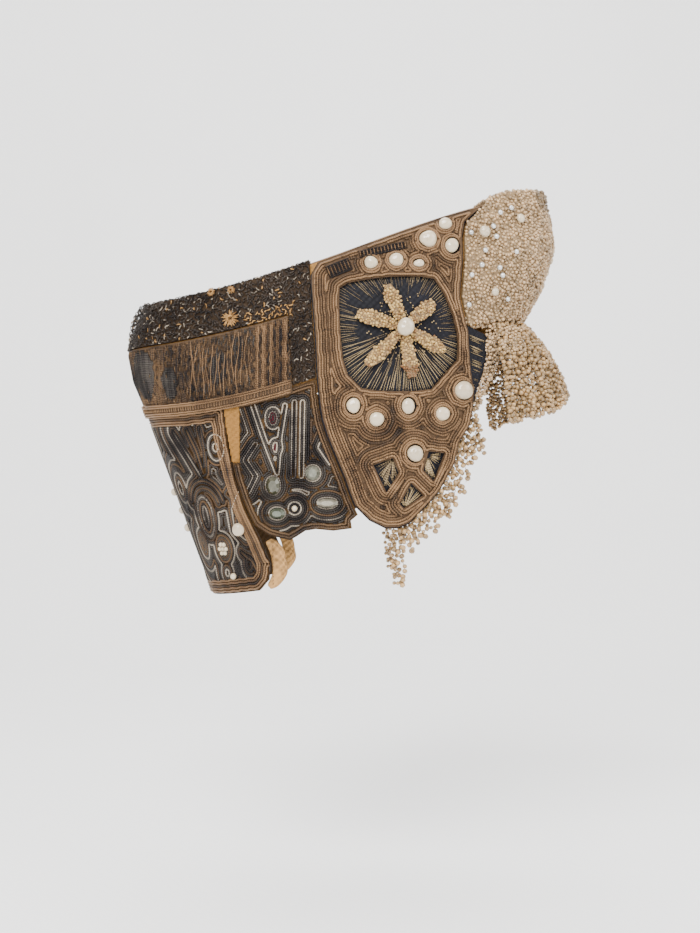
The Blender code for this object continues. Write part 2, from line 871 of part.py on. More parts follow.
def make_side_panel(side, name):
    hem = [panel_place(*row) for row in PANEL_HEM]
    flap = flap_edge_line()
    lobe = curve_through([on_lobe(*row) for row in LOBE_REAR_EDGE[1:]], EDGE_STEP)
    top_rear = flap[0][0] + SEAM_GAP
    top_level = EDGE_LEVEL + 0.003
    top_front = LOBE_REAR
    for _ in range(6):
        top_front = x_on(lobe, level_z(top_level, top_front)) - SEAM_GAP
    count = max(3, round((top_front - top_rear) / EDGE_STEP))
    top = [(x, level_z(top_level, x)) for x in spread(top_front, top_rear, count + 1)]
    rear = [(x_on(flap, z) + SEAM_GAP, z) for z in spread(top[-1][1], hem[0][1], 11)[1:-1]]
    front = [(x_on(lobe, z) - SEAM_GAP, z) for z in spread(hem[-1][1], top[0][1], 11)[1:-1]]
    outline = top + rear + hem + front
    side_panel_mesh(name, outline, [], SEAM_GAP, SEAM_GAP + PANEL_THICKNESS, side, "flap_embroidery")


def make_ear_lobe(side, name):
    outline = lobe_outline(LOBE_FRONT_EDGE, 0.0)
    side_panel_mesh(name, outline, [], SEAM_GAP, SEAM_GAP + PANEL_THICKNESS, side, "dark_velvet")


def make_cordwork(side, name):
    """The couched gold cords of the lobe, open at the windows and round each pearl."""
    outline = lobe_outline(CORDWORK_FRONT_EDGE, CORDWORK_INSET)
    holes = [curve_through([on_lobe(*p) for p in FLOWER_WINDOW], EDGE_STEP, closed=True)]
    for window in LOWER_WINDOWS:
        holes.append([on_lobe(*p) for p in window])
    for across, down, width, height in LOBE_PEARLS:
        x, z = on_lobe(across, down)
        reach = PEARL_CLEARANCE / 2 + SEAM_GAP / 2
        half_wide = width * PEARL_DIAMETER / 2 + reach
        half_high = height * PEARL_DIAMETER / 2 + reach
        grow = 1 / math.cos(math.pi / 8)
        holes.append(
            [
                (x + grow * half_wide * math.cos(t), z + grow * half_high * math.sin(t))
                for t in (2 * math.pi * k / 8 for k in range(8))
            ]
        )
    low = 2 * SEAM_GAP + PANEL_THICKNESS
    side_panel_mesh(name, outline, holes, low, low + CORDWORK_THICKNESS, side, "gold_cordwork")


def make_flower(side, name):
    """The raised flower of the window: six petals round a flat heart."""
    x, z = on_lobe(*FLOWER_CENTRE)
    heart = FLOWER_PEARL_SIZE * PEARL_DIAMETER / 2
    seat = 2.5 * SEAM_GAP + PANEL_THICKNESS
    rings = (
        # share of the way out, share of the height
        (0.45, 1.00),
        (0.80, 0.85),
        (1.00, 0.00),
    )
    outline = []
    for i, (angle, length) in enumerate(PETALS):
        tip = length * FLOWER_RADIUS
        turn = math.radians(angle)
        after = math.radians(PETALS[(i + 1) % len(PETALS)][0])
        if after < turn:
            after += 2 * math.pi
        half = FLOWER_PETAL_WIDTH / 2
        outline.append(petal_point(turn, heart * 1.1, -half * 0.55))
        outline.append(petal_point(turn, tip * 0.74, -half))
        outline.append(petal_point(turn, tip * 0.97, -half * 0.45))
        outline.append(petal_point(turn, tip * 0.97, half * 0.45))
        outline.append(petal_point(turn, tip * 0.74, half))
        outline.append(petal_point(turn, heart * 1.1, half * 0.55))
        between_petals = (turn + after) / 2
        outline.append(petal_point(between_petals, heart * 0.9, 0.0))
    count = len(outline)
    points, faces = [on_side(x, z, seat + FLOWER_HEIGHT, side)], []
    for out, high in rings:
        for dx, dz in outline:
            points.append(on_side(x + dx * out, z + dz * out, seat + FLOWER_HEIGHT * max(high, 0.35), side))
    for dx, dz in outline:
        points.append(on_side(x + dx, z + dz, seat, side))
    points.append(on_side(x, z, seat, side))
    for k in range(count):
        n = (k + 1) % count
        faces.append((0, 1 + k, 1 + n))
        for r in range(len(rings)):
            a, b = 1 + r * count, 1 + (r + 1) * count
            faces.append((a + k, b + k, b + n, a + n))
        last = 1 + len(rings) * count
        faces.append((last + n, last + k, len(points) - 1))
    add_object(name, points, faces, "flower_pearl")


def petal_point(turn, out, aside):
    return (
        out * math.cos(turn) - aside * math.sin(turn),
        out * math.sin(turn) + aside * math.cos(turn),
    )


def make_pearl(name, x, z, side, width, height, seat):
    """A flattened pearl seated on the surface at a place on the cap's side."""
    normal, across, upward = side_frame(x, z, side)
    thick = PEARL_FLATNESS * PEARL_DIAMETER * min(width, height)
    centre = on_side(x, z, seat + thick / 2, side)
    points = [centre + normal * thick / 2]
    for r in range(1, PEARL_RINGS):
        tilt = math.pi * r / PEARL_RINGS
        for k in range(PEARL_SIDES):
            turn = 2 * math.pi * k / PEARL_SIDES
            points.append(
                centre
                + normal * (math.cos(tilt) * thick / 2)
                + across * (math.sin(tilt) * math.cos(turn) * width * PEARL_DIAMETER / 2)
                + upward * (math.sin(tilt) * math.sin(turn) * height * PEARL_DIAMETER / 2)
            )
    points.append(centre - normal * thick / 2)
    faces = []
    for k in range(PEARL_SIDES):
        n = (k + 1) % PEARL_SIDES
        faces.append((0, 1 + k, 1 + n))
        for r in range(PEARL_RINGS - 2):
            a, b = 1 + r * PEARL_SIDES, 1 + (r + 1) * PEARL_SIDES
            faces.append((a + k, b + k, b + n, a + n))
        last = 1 + (PEARL_RINGS - 2) * PEARL_SIDES
        faces.append((last + n, last + k, len(points) - 1))
    add_object(name, points, faces, "white_pearl", smooth_under=60)


def make_stone(name, across_panel, down, width, height, sides, side, finish):
    """A cut stone with a flat table, a ring of crown facets and a low girdle."""
    x, z = panel_place(across_panel, down)
    normal, across, upward = side_frame(x, z, side)
    seat = 2 * SEAM_GAP + PANEL_THICKNESS
    base = on_side(x, z, seat, side)
    rings = (
        # share of the width, share of the height
        (0.92, 0.00),
        (1.00, 0.35),
        (0.58, 1.00),
    )
    points, faces = [], []
    for share, up in rings:
        for k in range(sides):
            turn = 2 * math.pi * (k + 0.5) / sides
            points.append(
                base
                + normal * (up * STONE_HEIGHT)
                + across * (share * math.cos(turn) * width * STONE_WIDTH / 2)
                + upward * (share * math.sin(turn) * height * STONE_WIDTH / 2)
            )
    for r in range(len(rings) - 1):
        for k in range(sides):
            n = (k + 1) % sides
            faces.append((r * sides + k, r * sides + n, (r + 1) * sides + n, (r + 1) * sides + k))
    faces.append(tuple(reversed(range(sides))))
    faces.append(tuple(range((len(rings) - 1) * sides, len(rings) * sides)))
    add_object(name, points, faces, finish, smooth_under=5)


def make_horn():
    """The pearl-covered padding of the horn, from its foot up the front and over the rim."""
    columns = 23
    edge = horn_edge_line()
    low, high = 1.5 * SEAM_GAP, 1.5 * SEAM_GAP + HORN_THICKNESS
    outer, inner = [], []
    for level, x, _ in edge:
        corner = 0.75 * HORN_THICKNESS if level == RIM_LEVEL else 0.0
        end = angle_at(level, x + 1.5 * SEAM_GAP + corner)
        for i, angle in enumerate(spread(-end, end, columns)):
            base, normal = skin(angle, level), skin_normal(angle, level)
            swell = 0.55 if level == edge[0][0] or i in (0, columns - 1) else 1.0
            if level == RIM_LEVEL:
                normal = Vector((normal.x, normal.y, 0.0)).normalized() + top_normal(base.x)
            outer.append(base + normal * (low + (high - low) * swell))
            inner.append(base + normal * low)
    for inset in (HORN_TURN / 2, HORN_TURN):
        for i, angle in enumerate(spread(-end, end, columns)):
            swell = 0.55 if inset == HORN_TURN or i in (0, columns - 1) else 1.0
            outer.append(top_point(angle, inset, low + (high - low) * swell))
            inner.append(top_point(angle, inset, low))
    slab("horn", outer, inner, grid_faces(len(edge) + 2, columns), "seed_pearl")


def make_frill():
    """The pearl net that stands out over the forehead, gathered, with open meshes near its root."""
    columns = 33
    root_level = EDGE_LEVEL - 0.004
    end = angle_at(root_level, FRILL_END * CAP_LENGTH)
    outer, inner = [], []
    rows = len(FRILL_PROFILE)
    for out, down in FRILL_PROFILE:
        for angle in spread(-end, end, columns):
            around = abs(angle) / end
            reach = FRILL_REACH * between(FRILL_SPREAD, around, 1)
            drop = FRILL_DROP * between(FRILL_SPREAD, around, 2)
            normal = skin_normal(angle, root_level)
            outward = Vector((normal.x, normal.y, 0.0)).normalized()
            root = skin(angle, root_level) + outward * SEAM_GAP * 1.5
            gather = math.cos(FRILL_GATHERS * math.pi * angle / end)
            wave = FRILL_RUFFLE * down * gather
            place = root + outward * (reach * out + wave) - Vector((0, 0, drop * down - wave))
            outer.append(place + outward * FRILL_THICKNESS)
            inner.append(place)

    def keep(row, column):
        return not (row in (1, 3) and column % 2 == 1 and 2 < column < columns - 4)

    slab("frill", outer, inner, grid_faces(rows, columns, keep), "seed_pearl")


def make_pearl_band(side, name):
    """The flat band of pearls down the lobe's front edge."""
    lobe = curve_through([on_lobe(*row) for row in LOBE_FRONT_EDGE[7:]], EDGE_STEP / 2)
    top, foot = lobe[-1][1], on_lobe(0.0, LOBE_FRONT_EDGE[8][1])[1]
    rear, front = [], []
    for i, z in enumerate(spread(top, foot, 9)):
        x = x_on(lobe, z) + SEAM_GAP
        rear.append((x, z))
        front.append((x + BAND_WIDTH * (1.0 - 0.72 * i / 8), z))
    outline = rear + front[::-1]
    side_panel_mesh(name, outline, [], SEAM_GAP, SEAM_GAP + BAND_THICKNESS, side, "seed_pearl")


def make_fringe(side, name):
    """The pearl fringe along the lobe's lower front edge, with the strand that hangs from its foot."""
    start = curve_through([on_lobe(*row) for row in LOBE_FRONT_EDGE[:9]], EDGE_STEP)
    drawn = []
    for i, (x, z) in enumerate(start):
        before, after = Vector(start[max(i - 1, 0)]), Vector(start[min(i + 1, len(start) - 1)])
        along = (after - before).normalized()
        drawn.append((x + along.y * 2 * SEAM_GAP, z - along.x * 2 * SEAM_GAP))
    tips = [on_lobe(*row) for row in FRINGE_TIPS]
    outline = drawn + tips
    low = SEAM_GAP
    side_panel_mesh(name, outline, [], low, low + FRINGE_THICKNESS, side, "seed_pearl")


def main():
    for old in list(bpy.data.objects):
        bpy.data.objects.remove(old, do_unlink=True)
    make_crown_shell()
    make_crown_top()
    make_crown_lace()
    make_brocade_band()
    make_galloon()
    make_back_flap()
    make_horn()
    make_frill()
    seat = 2 * SEAM_GAP + PANEL_THICKNESS
    for side, word in ((-1, "right"), (1, "left")):
        make_flap_lining(side, f"flap_lining_{word}")
        make_side_panel(side, f"side_panel_{word}")
        make_ear_lobe(side, f"ear_lobe_{word}")
        make_cordwork(side, f"lobe_cordwork_{word}")
        make_flower(side, f"flower_{word}")
        make_pearl_band(side, f"pearl_band_{word}")
        make_fringe(side, f"fringe_{word}")
        for number, (across, down, width, height) in enumerate(LOBE_PEARLS, 1):
            x, z = on_lobe(across, down)
            make_pearl(f"lobe_pearl_{number:02d}_{word}", x, z, side, width, height, seat - SEAM_GAP / 2)
        x, z = on_lobe(*FLOWER_CENTRE)
        over = seat + FLOWER_HEIGHT + SEAM_GAP
        make_pearl(f"flower_pearl_{word}", x, z, side, FLOWER_PEARL_SIZE, FLOWER_PEARL_SIZE, over)
        x = flap_edge_x(FLAP_PEARL_DOWN) - FLAP_PEARL_INSET
        z = level_z(flap_level(FLAP_PEARL_DOWN), x)
        over = seat + FLAP_BORDER_HEIGHT
        make_pearl(f"flap_pearl_{word}", x, z, side, FLAP_PEARL_SIZE, FLAP_PEARL_SIZE, over)
        for stone, across, down, width, height, sides in STONES:
            finish = "clear_glass" if stone in ("clear", "oblong") else "green_glass"
            make_stone(f"stone_{stone}_{word}", across, down, width, height, sides, side, finish)


main()
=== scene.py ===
import math
import random

import bmesh
import bpy
import numpy as np
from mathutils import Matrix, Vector
from mathutils.bvhtree import BVHTree


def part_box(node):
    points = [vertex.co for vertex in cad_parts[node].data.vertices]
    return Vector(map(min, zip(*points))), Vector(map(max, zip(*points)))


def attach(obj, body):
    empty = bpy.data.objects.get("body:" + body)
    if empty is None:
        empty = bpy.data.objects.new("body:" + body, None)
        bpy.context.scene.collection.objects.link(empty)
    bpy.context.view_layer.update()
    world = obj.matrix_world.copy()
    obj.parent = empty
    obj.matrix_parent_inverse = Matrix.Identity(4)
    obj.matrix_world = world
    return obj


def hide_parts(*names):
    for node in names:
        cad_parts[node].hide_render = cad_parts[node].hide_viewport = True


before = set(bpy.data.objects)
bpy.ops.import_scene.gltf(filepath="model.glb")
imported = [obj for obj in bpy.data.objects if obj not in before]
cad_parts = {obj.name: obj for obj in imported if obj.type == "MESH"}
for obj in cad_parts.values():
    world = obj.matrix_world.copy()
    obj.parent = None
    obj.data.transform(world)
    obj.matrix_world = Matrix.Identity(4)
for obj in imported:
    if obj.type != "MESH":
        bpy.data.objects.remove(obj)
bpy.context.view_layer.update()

bl_info = {
    "name": "Kokoshnik Finisher",
    "version": (1, 0, 0),
    "blender": (4, 5, 0),
    "location": "View3D > Sidebar > Kokoshnik",
    "description": "Dresses the frame of a pearl kokoshnik with cords, lace, seed pearls and cloth",
    "category": "Object",
}

SIDES = ("right", "left")
CORD_SIDES = 4
FINE_SIDES = 3
FIELD_STEP = 0.0009
# Rays towards a surface start this far away: beside the cap, above it and behind it.
BESIDE, ABOVE, BEHIND = 0.3, 0.2, 0.4
# The length of one turn of the metal thread round a cord.
TWIST = 0.0016
# A cord narrows at its ends to this share of its radius, and its middle lies this share above the surface.
TAPER, SUNK = 0.35, 0.75
# How much finer the embroidery's cords are than the lobes' cords.
FINER = 0.84


# Settings


class CordSettings(bpy.types.PropertyGroup):
    pitch: bpy.props.FloatProperty(
        name="Pitch",
        description="Distance between couched cords",
        default=0.0018,
        unit="LENGTH",
    )
    radius: bpy.props.FloatProperty(
        name="Radius",
        description="Radius of a couched cord",
        default=0.00088,
        unit="LENGTH",
    )
    gold: bpy.props.FloatVectorProperty(
        name="Gold",
        description="Colour of the clean cord",
        default=(0.245, 0.145, 0.075),
        subtype="COLOR",
    )
    # The worn cord's colour; the gold cord's twist grooves are also painted with it as shade.
    tarnish: bpy.props.FloatVectorProperty(
        name="Tarnish",
        description="Colour of the worn cord",
        default=(0.060, 0.033, 0.018),
        subtype="COLOR",
    )
    black: bpy.props.FloatVectorProperty(
        name="Blackened",
        description="Colour of oxidised metal",
        default=(0.012, 0.010, 0.010),
        subtype="COLOR",
    )


class PearlSettings(bpy.types.PropertyGroup):
    seed_radius: bpy.props.FloatProperty(
        name="Seed radius",
        description="Radius of a horn's seed pearl",
        default=0.00128,
        unit="LENGTH",
    )
    net_radius: bpy.props.FloatProperty(
        name="Net radius",
        description="Radius of a pearl of the net and fringes",
        default=0.00175,
        unit="LENGTH",
    )
    seed: bpy.props.FloatVectorProperty(
        name="Seed pearl",
        description="Colour of the horn's pearls",
        default=(0.52, 0.35, 0.19),
        subtype="COLOR",
    )
    net: bpy.props.FloatVectorProperty(
        name="Net pearl",
        description="Colour of the net's pearls",
        default=(0.43, 0.27, 0.12),
        subtype="COLOR",
    )
    white: bpy.props.FloatVectorProperty(
        name="River pearl",
        description="Colour of the large pearls",
        default=(0.54, 0.44, 0.30),
        subtype="COLOR",
    )


class ClothSettings(bpy.types.PropertyGroup):
    silk: bpy.props.FloatVectorProperty(
        name="Silk",
        description="Colour of the ochre silk",
        default=(0.29, 0.145, 0.038),
        subtype="COLOR",
    )
    ground: bpy.props.FloatVectorProperty(
        name="Ground",
        description="Colour of the lobes' dark ground",
        default=(0.004, 0.004, 0.006),
        subtype="COLOR",
    )
    lining: bpy.props.FloatVectorProperty(
        name="Lining",
        description="Colour of the lining",
        default=(0.47, 0.26, 0.095),
        subtype="COLOR",
    )
    floor: bpy.props.FloatVectorProperty(
        name="Floor",
        description="Colour of the floor",
        default=(0.97, 0.97, 0.97),
        subtype="COLOR",
    )


def settings(name):
    """The values of one group of settings."""
    return getattr(bpy.context.scene, name)


# Shader maths


class Value:
    """A socket of a node tree that takes part in Python arithmetic."""

    def __init__(self, tree, socket):
        self.tree = tree
        self.socket = socket

    def maths(self, operation, other=None, swap=False):
        node = self.tree.nodes.new("ShaderNodeMath")
        node.operation = operation
        pair = [self, other] if not swap else [other, self]
        for socket, value in zip(node.inputs, pair):
            if isinstance(value, Value):
                self.tree.links.new(value.socket, socket)
            elif value is not None:
                socket.default_value = value
        return Value(self.tree, node.outputs[0])

    def __add__(self, other):
        return self.maths("ADD", other)

    def __sub__(self, other):
        return self.maths("SUBTRACT", other)

    def __rsub__(self, other):
        return self.maths("SUBTRACT", other, True)

    def __mul__(self, other):
        return self.maths("MULTIPLY", other)

    def __truediv__(self, other):
        return self.maths("DIVIDE", other)

    def sine(self):
        return self.maths("SINE")

    def clamped(self):
        return self.maths("MAXIMUM", 0.0).maths("MINIMUM", 1.0)


class Finish:
    """A material under construction: one Principled shader and what feeds it."""

    def __init__(self, name):
        self.material = bpy.data.materials.new(name)
        self.material.use_nodes = True
        self.tree = self.material.node_tree
        self.shader = self.tree.nodes["Principled BSDF"]

    def node(self, kind, inputs=None, output=0, **kept):
        """Any node: its settings first, then the values or links of its sockets."""
        made = self.tree.nodes.new(kind)
        for key, value in kept.items():
            setattr(made, key, value)
        for key, value in (inputs or {}).items():
            if isinstance(value, Value):
                self.tree.links.new(value.socket, made.inputs[key])
            else:
                made.inputs[key].default_value = value
        return Value(self.tree, made.outputs[output])

    def place(self):
        return self.node("ShaderNodeTexCoord", output="Object")

    def noise(self, scale, detail=3.0):
        return self.node(
            "ShaderNodeTexNoise",
            {"Vector": self.place(), "Scale": scale, "Detail": detail, "Roughness": 0.6},
        )

    def attribute(self, name):
        return self.node("ShaderNodeAttribute", output="Fac", attribute_name=name)

    def mix(self, share, first, second):
        first = first if isinstance(first, Value) else (*first, 1.0)
        second = second if isinstance(second, Value) else (*second, 1.0)
        return self.node(
            "ShaderNodeMix", {0: share, 6: first, 7: second}, output=2, data_type="RGBA"
        )

    def feed(self, socket, value):
        if isinstance(value, Value):
            self.tree.links.new(value.socket, self.shader.inputs[socket])
        else:
            self.shader.inputs[socket].default_value = value

    def bump(self, height, distance, strength):
        bumped = self.node(
            "ShaderNodeBump", {"Height": height, "Distance": distance, "Strength": strength}
        )
        self.tree.links.new(bumped.socket, self.shader.inputs["Normal"])


def pick(name, build):
    """The finish of this name, made the first time that it is asked for."""
    found = bpy.data.materials.get(name)
    if found:
        return found
    finish = Finish(name)
    build(finish)
    return finish.material


def dim(colour, share):
    """A colour made darker, or lighter with a share over one."""
    return tuple(c * share for c in colour)


def cord_finish(name, light, dark, wear, metallic, roughness=0.42):
    """Spun metal thread: a twist along the cord, wear in patches, a tone of its own per cord, and painted
    shade in the twist's grooves.
    """

    def build(f):
        around_along = f.node("ShaderNodeUVMap", uv_map="twist")
        split = f.node("ShaderNodeSeparateXYZ", {"Vector": around_along})
        along = Value(f.tree, split.socket.node.outputs["Y"])
        turn = (along / TWIST + split) * (2 * math.pi)
        ridge = turn.sine() * 0.5 + 0.5
        patches = (f.noise(38.0) - 0.5) * 3.0 + wear
        tone = f.attribute("tone")
        # Painted shade: the colour turns towards the dark one in the twist's grooves, so the ridges show as
        # painted highlights; the noise patches are wear.
        share = (patches + tone * 0.7 - 0.35 + (1 - ridge) * 0.30).clamped()
        f.feed("Base Color", f.mix(share, light, dark))
        f.feed("Metallic", metallic)
        f.feed("Roughness", (f.noise(260.0) * 0.3 + (roughness - 0.12)).clamped())
        f.shader.inputs["Specular IOR Level"].default_value = 0.25
        f.bump(ridge, 0.0005, 0.9)

    return pick(name, build)


def pearl_finish(name, colour, deep, roughness, coat):
    """Nacre: a tone per bead, a cloudy body and a clear gloss."""

    def build(f):
        tone = f.attribute("tone")
        cloud = (f.noise(420.0, 2.0) - 0.5) * 0.9
        share = (tone * 0.85 + cloud + (f.noise(24.0) - 0.5) * 0.8).clamped()
        f.feed("Base Color", f.mix(share, colour, deep))
        f.feed("Roughness", (f.noise(300.0) * 0.2 + roughness - 0.1).clamped())
        f.feed("Coat Weight", coat)
        f.shader.inputs["Coat Roughness"].default_value = 0.12
        f.shader.inputs["Subsurface Weight"].default_value = 0.12
        f.shader.inputs["Subsurface Scale"].default_value = 0.002
        f.shader.inputs["Subsurface Radius"].default_value = (1.0, 0.7, 0.45)
        f.bump(f.noise(700.0, 2.0), 0.0003, 0.35)

    return pick(name, build)


def cloth_finish(name, light, dark, scale=900.0, roughness=0.75, metallic=0.0, bump=0.0004, spots=30.0):
    """Woven cloth: two crossed threads in the bump, and stains in the colour."""

    def build(f):
        place = f.node("ShaderNodeSeparateXYZ", {"Vector": f.place()})
        outputs = place.socket.node.outputs
        x, y, z = (Value(f.tree, outputs[k]) for k in "XYZ")
        weave = ((x + y) * scale).sine() * ((z + y * 0.4) * scale).sine()
        stain = ((f.noise(spots, 5.0) - 0.45) * 2.6 + weave * 0.22).clamped()
        f.feed("Base Color", f.mix(stain, light, dark))
        f.feed("Metallic", metallic)
        f.feed("Roughness", (f.noise(180.0) * 0.3 + roughness - 0.15).clamped())
        f.shader.inputs["Specular IOR Level"].default_value = 0.15
        f.bump(weave * 0.5 + f.noise(500.0) * 0.8, bump, 0.9)

    return pick(name, build)


def gold_cord():
    c = settings("kokoshnik_cords")
    return cord_finish("gold_cord", c.gold, c.tarnish, 0.10, 0.45)


def brown_cord():
    c = settings("kokoshnik_cords")
    return cord_finish("brown_cord", dim(c.gold, 0.55), dim(c.black, 1.5), 0.34, 0.45, 0.42)


def ochre_silk():
    cloth = settings("kokoshnik_cloth")
    return cloth_finish("ochre_silk", cloth.silk, dim(cloth.silk, 0.35), 1500.0, 0.62)


# Surfaces to lay things on


class Skin:
    """The outside of some nodes of the frame, as a surface that lines can be laid on."""

    def __init__(self, *nodes):
        points, faces = [], []
        for node in nodes:
            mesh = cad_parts[node].data
            first = len(points)
            points.extend(v.co.copy() for v in mesh.vertices)
            faces.extend(tuple(first + i for i in p.vertices) for p in mesh.polygons)
        self.tree = BVHTree.FromPolygons(points, faces)
        self.low = Vector([min(p[i] for p in points) for i in range(3)])
        self.high = Vector([max(p[i] for p in points) for i in range(3)])

    def hit(self, start, towards):
        place, normal, _, _ = self.tree.ray_cast(start, towards, 1.0)
        if place is None:
            return None
        if normal.dot(towards) > 0:
            normal = -normal
        return place, normal

    def from_side(self, x, z):
        """The place met when looking from the wearer's right."""
        return self.hit(Vector((x, -BESIDE, z)), Vector((0.0, 1.0, 0.0)))

    def from_above(self, place):
        """The place met when looking down past a place."""
        return self.hit(place + Vector((0.0, 0.0, ABOVE)), Vector((0.0, 0.0, -1.0)))


class SideSkin(Skin):
    """Places are x and z, seen from the wearer's right."""

    def extent(self):
        return self.low.x, self.high.x, self.low.z, self.high.z

    def at(self, x, z):
        found = self.from_side(x, z)
        if found and found[0].y > 0:
            return None
        return found


class BackSkin(Skin):
    """Places are the distance round the cap from the middle of the back, and z.

    The distance is positive on the wearer's right.
    """

    # The upright axis that the cap is measured round, as x.
    MIDDLE = -0.075
    # Degrees between the directions tried, how many directions, and heights in each.
    DEGREES, DIRECTIONS, HEIGHTS = 0.5, 331, 60

    def __init__(self, *nodes):
        super().__init__(*nodes)
        angles, rounds, last, total = [], [], None, 0.0
        for k in range(self.DIRECTIONS):
            angle = math.radians(k * self.DEGREES)
            found = None
            for z in np.linspace(self.high.z, self.low.z, self.HEIGHTS):
                found = self.outer(angle, z)
                if found:
                    break
            if found is None:
                if angles:
                    break
                continue
            flat = found[0].to_2d()
            if last is not None:
                total += (flat - last).length
            last = flat
            angles.append(angle)
            rounds.append(total)
        self.angles, self.rounds = angles, rounds

    def ray(self, angle, z):
        towards = Vector((math.cos(angle), math.sin(angle), 0.0))
        return Vector((self.MIDDLE, 0.0, z)) - towards * BEHIND, towards

    def outer(self, angle, z):
        """The place on the near side only, so that no ray passes the front and meets the inside."""
        start, towards = self.ray(angle, z)
        found = self.hit(start, towards)
        if found is None or (found[0] - Vector((self.MIDDLE, 0.0, z))).dot(towards) > 0:
            return None
        return found

    def extent(self):
        return -self.rounds[-1], self.rounds[-1], self.low.z, self.high.z

    def at(self, around, z):
        angle = float(np.interp(abs(around), self.rounds, self.angles))
        return self.outer(math.copysign(angle, around), z)

    def seen(self, x, z):
        """The place round the cap of a point seen from the wearer's right."""
        found = self.from_side(x, z)
        if found is None:
            return None
        angle = math.atan2(-found[0].y, self.MIDDLE - found[0].x)
        return float(np.interp(angle, self.angles, self.rounds)), z


# Meshes from many small pieces


def shown(name, data):
    """A new object in the scene."""
    made = bpy.data.objects.new(name, data)
    bpy.context.scene.collection.objects.link(made)
    return made


class Heap:
    """Gathers the points and faces of many small pieces that become one mesh."""

    def __init__(self):
        self.points, self.faces, self.tones, self.twists = [], [], [], []
        self.count = 0

    def add(self, points, faces, tone, twists=None):
        self.points.append(points)
        self.faces.append(faces + self.count)
        self.tones.append(np.full(len(points), tone))
        self.twists.append(np.zeros((len(faces), faces.shape[1], 2)) if twists is None else twists)
        self.count += len(points)

    def cord(self, line, radius, tone, sides=CORD_SIDES, flat=0.9):
        """A cord along a line of (place, normal) pairs."""
        if len(line) < 2:
            return
        centres = np.array([p for p, _ in line])
        normals = np.array([n for _, n in line])
        along = np.gradient(centres, axis=0)
        along /= np.maximum(np.linalg.norm(along, axis=1, keepdims=True), 1e-9)
        across = np.cross(along, normals)
        across /= np.maximum(np.linalg.norm(across, axis=1, keepdims=True), 1e-9)
        up = np.cross(across, along)
        turns = 2 * math.pi * np.arange(sides) / sides
        ring = (
            across[:, None, :] * np.cos(turns)[None, :, None]
            + up[:, None, :] * (np.sin(turns) * flat)[None, :, None]
        )
        ends = np.ones(len(line))
        ends[0] = ends[-1] = TAPER
        points = (centres[:, None, :] + ring * (radius * ends)[:, None, None]).reshape(-1, 3)
        r = np.arange(len(line) - 1)[:, None] * sides
        c = np.arange(sides)[None, :]
        d = (c + 1) % sides
        faces = np.stack([r + c, r + d, r + sides + d, r + sides + c], axis=-1).reshape(-1, 4)
        run = np.concatenate([[0], np.cumsum(np.linalg.norm(np.diff(centres, axis=0), axis=1))])
        u0 = np.broadcast_to(c / sides, (len(line) - 1, sides))
        v0 = np.broadcast_to(run[:-1, None], u0.shape)
        v1 = np.broadcast_to(run[1:, None], u0.shape)
        twists = np.stack(
            [
                np.stack([u0, v0], -1),
                np.stack([u0 + 1 / sides, v0], -1),
                np.stack([u0 + 1 / sides, v1], -1),
                np.stack([u0, v1], -1),
            ],
            axis=2,
        ).reshape(-1, 4, 2)
        self.add(points, faces, tone, twists)
        caps = []
        for first in (0, (len(line) - 1) * sides):
            order = range(sides) if first else range(sides - 1, -1, -1)
            loop = [first + k for k in order]
            caps += [[loop[0], loop[k], loop[k + 1], loop[k + 1]] for k in range(1, sides - 1)]
        self.faces.append(np.array(caps) + self.count - len(points))
        self.twists.append(np.zeros((len(caps), 4, 2)))

    def bead(self, centre, normal, radius, tone, squash=1.0, shape=None):
        """A round pearl, a little flattened along the surface's normal."""
        points, faces = shape or BEAD
        up = np.array(normal)
        side = np.cross(up, (0.31, 0.17, 0.93))
        side /= np.linalg.norm(side)
        other = np.cross(up, side)
        placed = points[:, :1] * side + points[:, 1:2] * other + points[:, 2:] * up * squash
        self.add(np.array(centre) + placed * radius, faces, tone)

    def build(self, name, material, mirror=False, smooth=True):
        """One mesh object; with mirror, its twin on the other side of the cap instead."""
        points = np.concatenate(self.points)
        faces = np.concatenate(self.faces)
        tones = np.concatenate(self.tones)
        twists = np.concatenate(self.twists)
        sizes = np.where(faces[:, 2] == faces[:, 3], 3, 4)
        if mirror:
            points = points * np.array([1.0, -1.0, 1.0])
            faces, twists = faces[:, ::-1], twists[:, ::-1]
            faces = np.where(sizes[:, None] == 3, np.roll(faces, -1, axis=1), faces)
        mesh = bpy.data.meshes.new(name)
        keep = np.arange(4)[None, :] < sizes[:, None]
        mesh.vertices.add(len(points))
        mesh.vertices.foreach_set("co", points.astype(np.float32).ravel())
        loops = faces[keep]
        mesh.loops.add(len(loops))
        mesh.loops.foreach_set("vertex_index", loops.astype(np.int32))
        starts = np.concatenate([[0], np.cumsum(sizes)[:-1]])
        mesh.polygons.add(len(faces))
        mesh.polygons.foreach_set("loop_start", starts.astype(np.int32))
        mesh.update(calc_edges=True)
        tone = mesh.attributes.new("tone", "FLOAT", "POINT")
        tone.data.foreach_set("value", tones.astype(np.float32))
        layer = mesh.uv_layers.new(name="twist")
        layer.data.foreach_set("uv", twists[keep].astype(np.float32).ravel())
        mesh.validate()
        if smooth:
            mesh.shade_smooth()
        mesh.materials.append(material)
        made = shown(name, mesh)
        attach(made, "root")
        return made


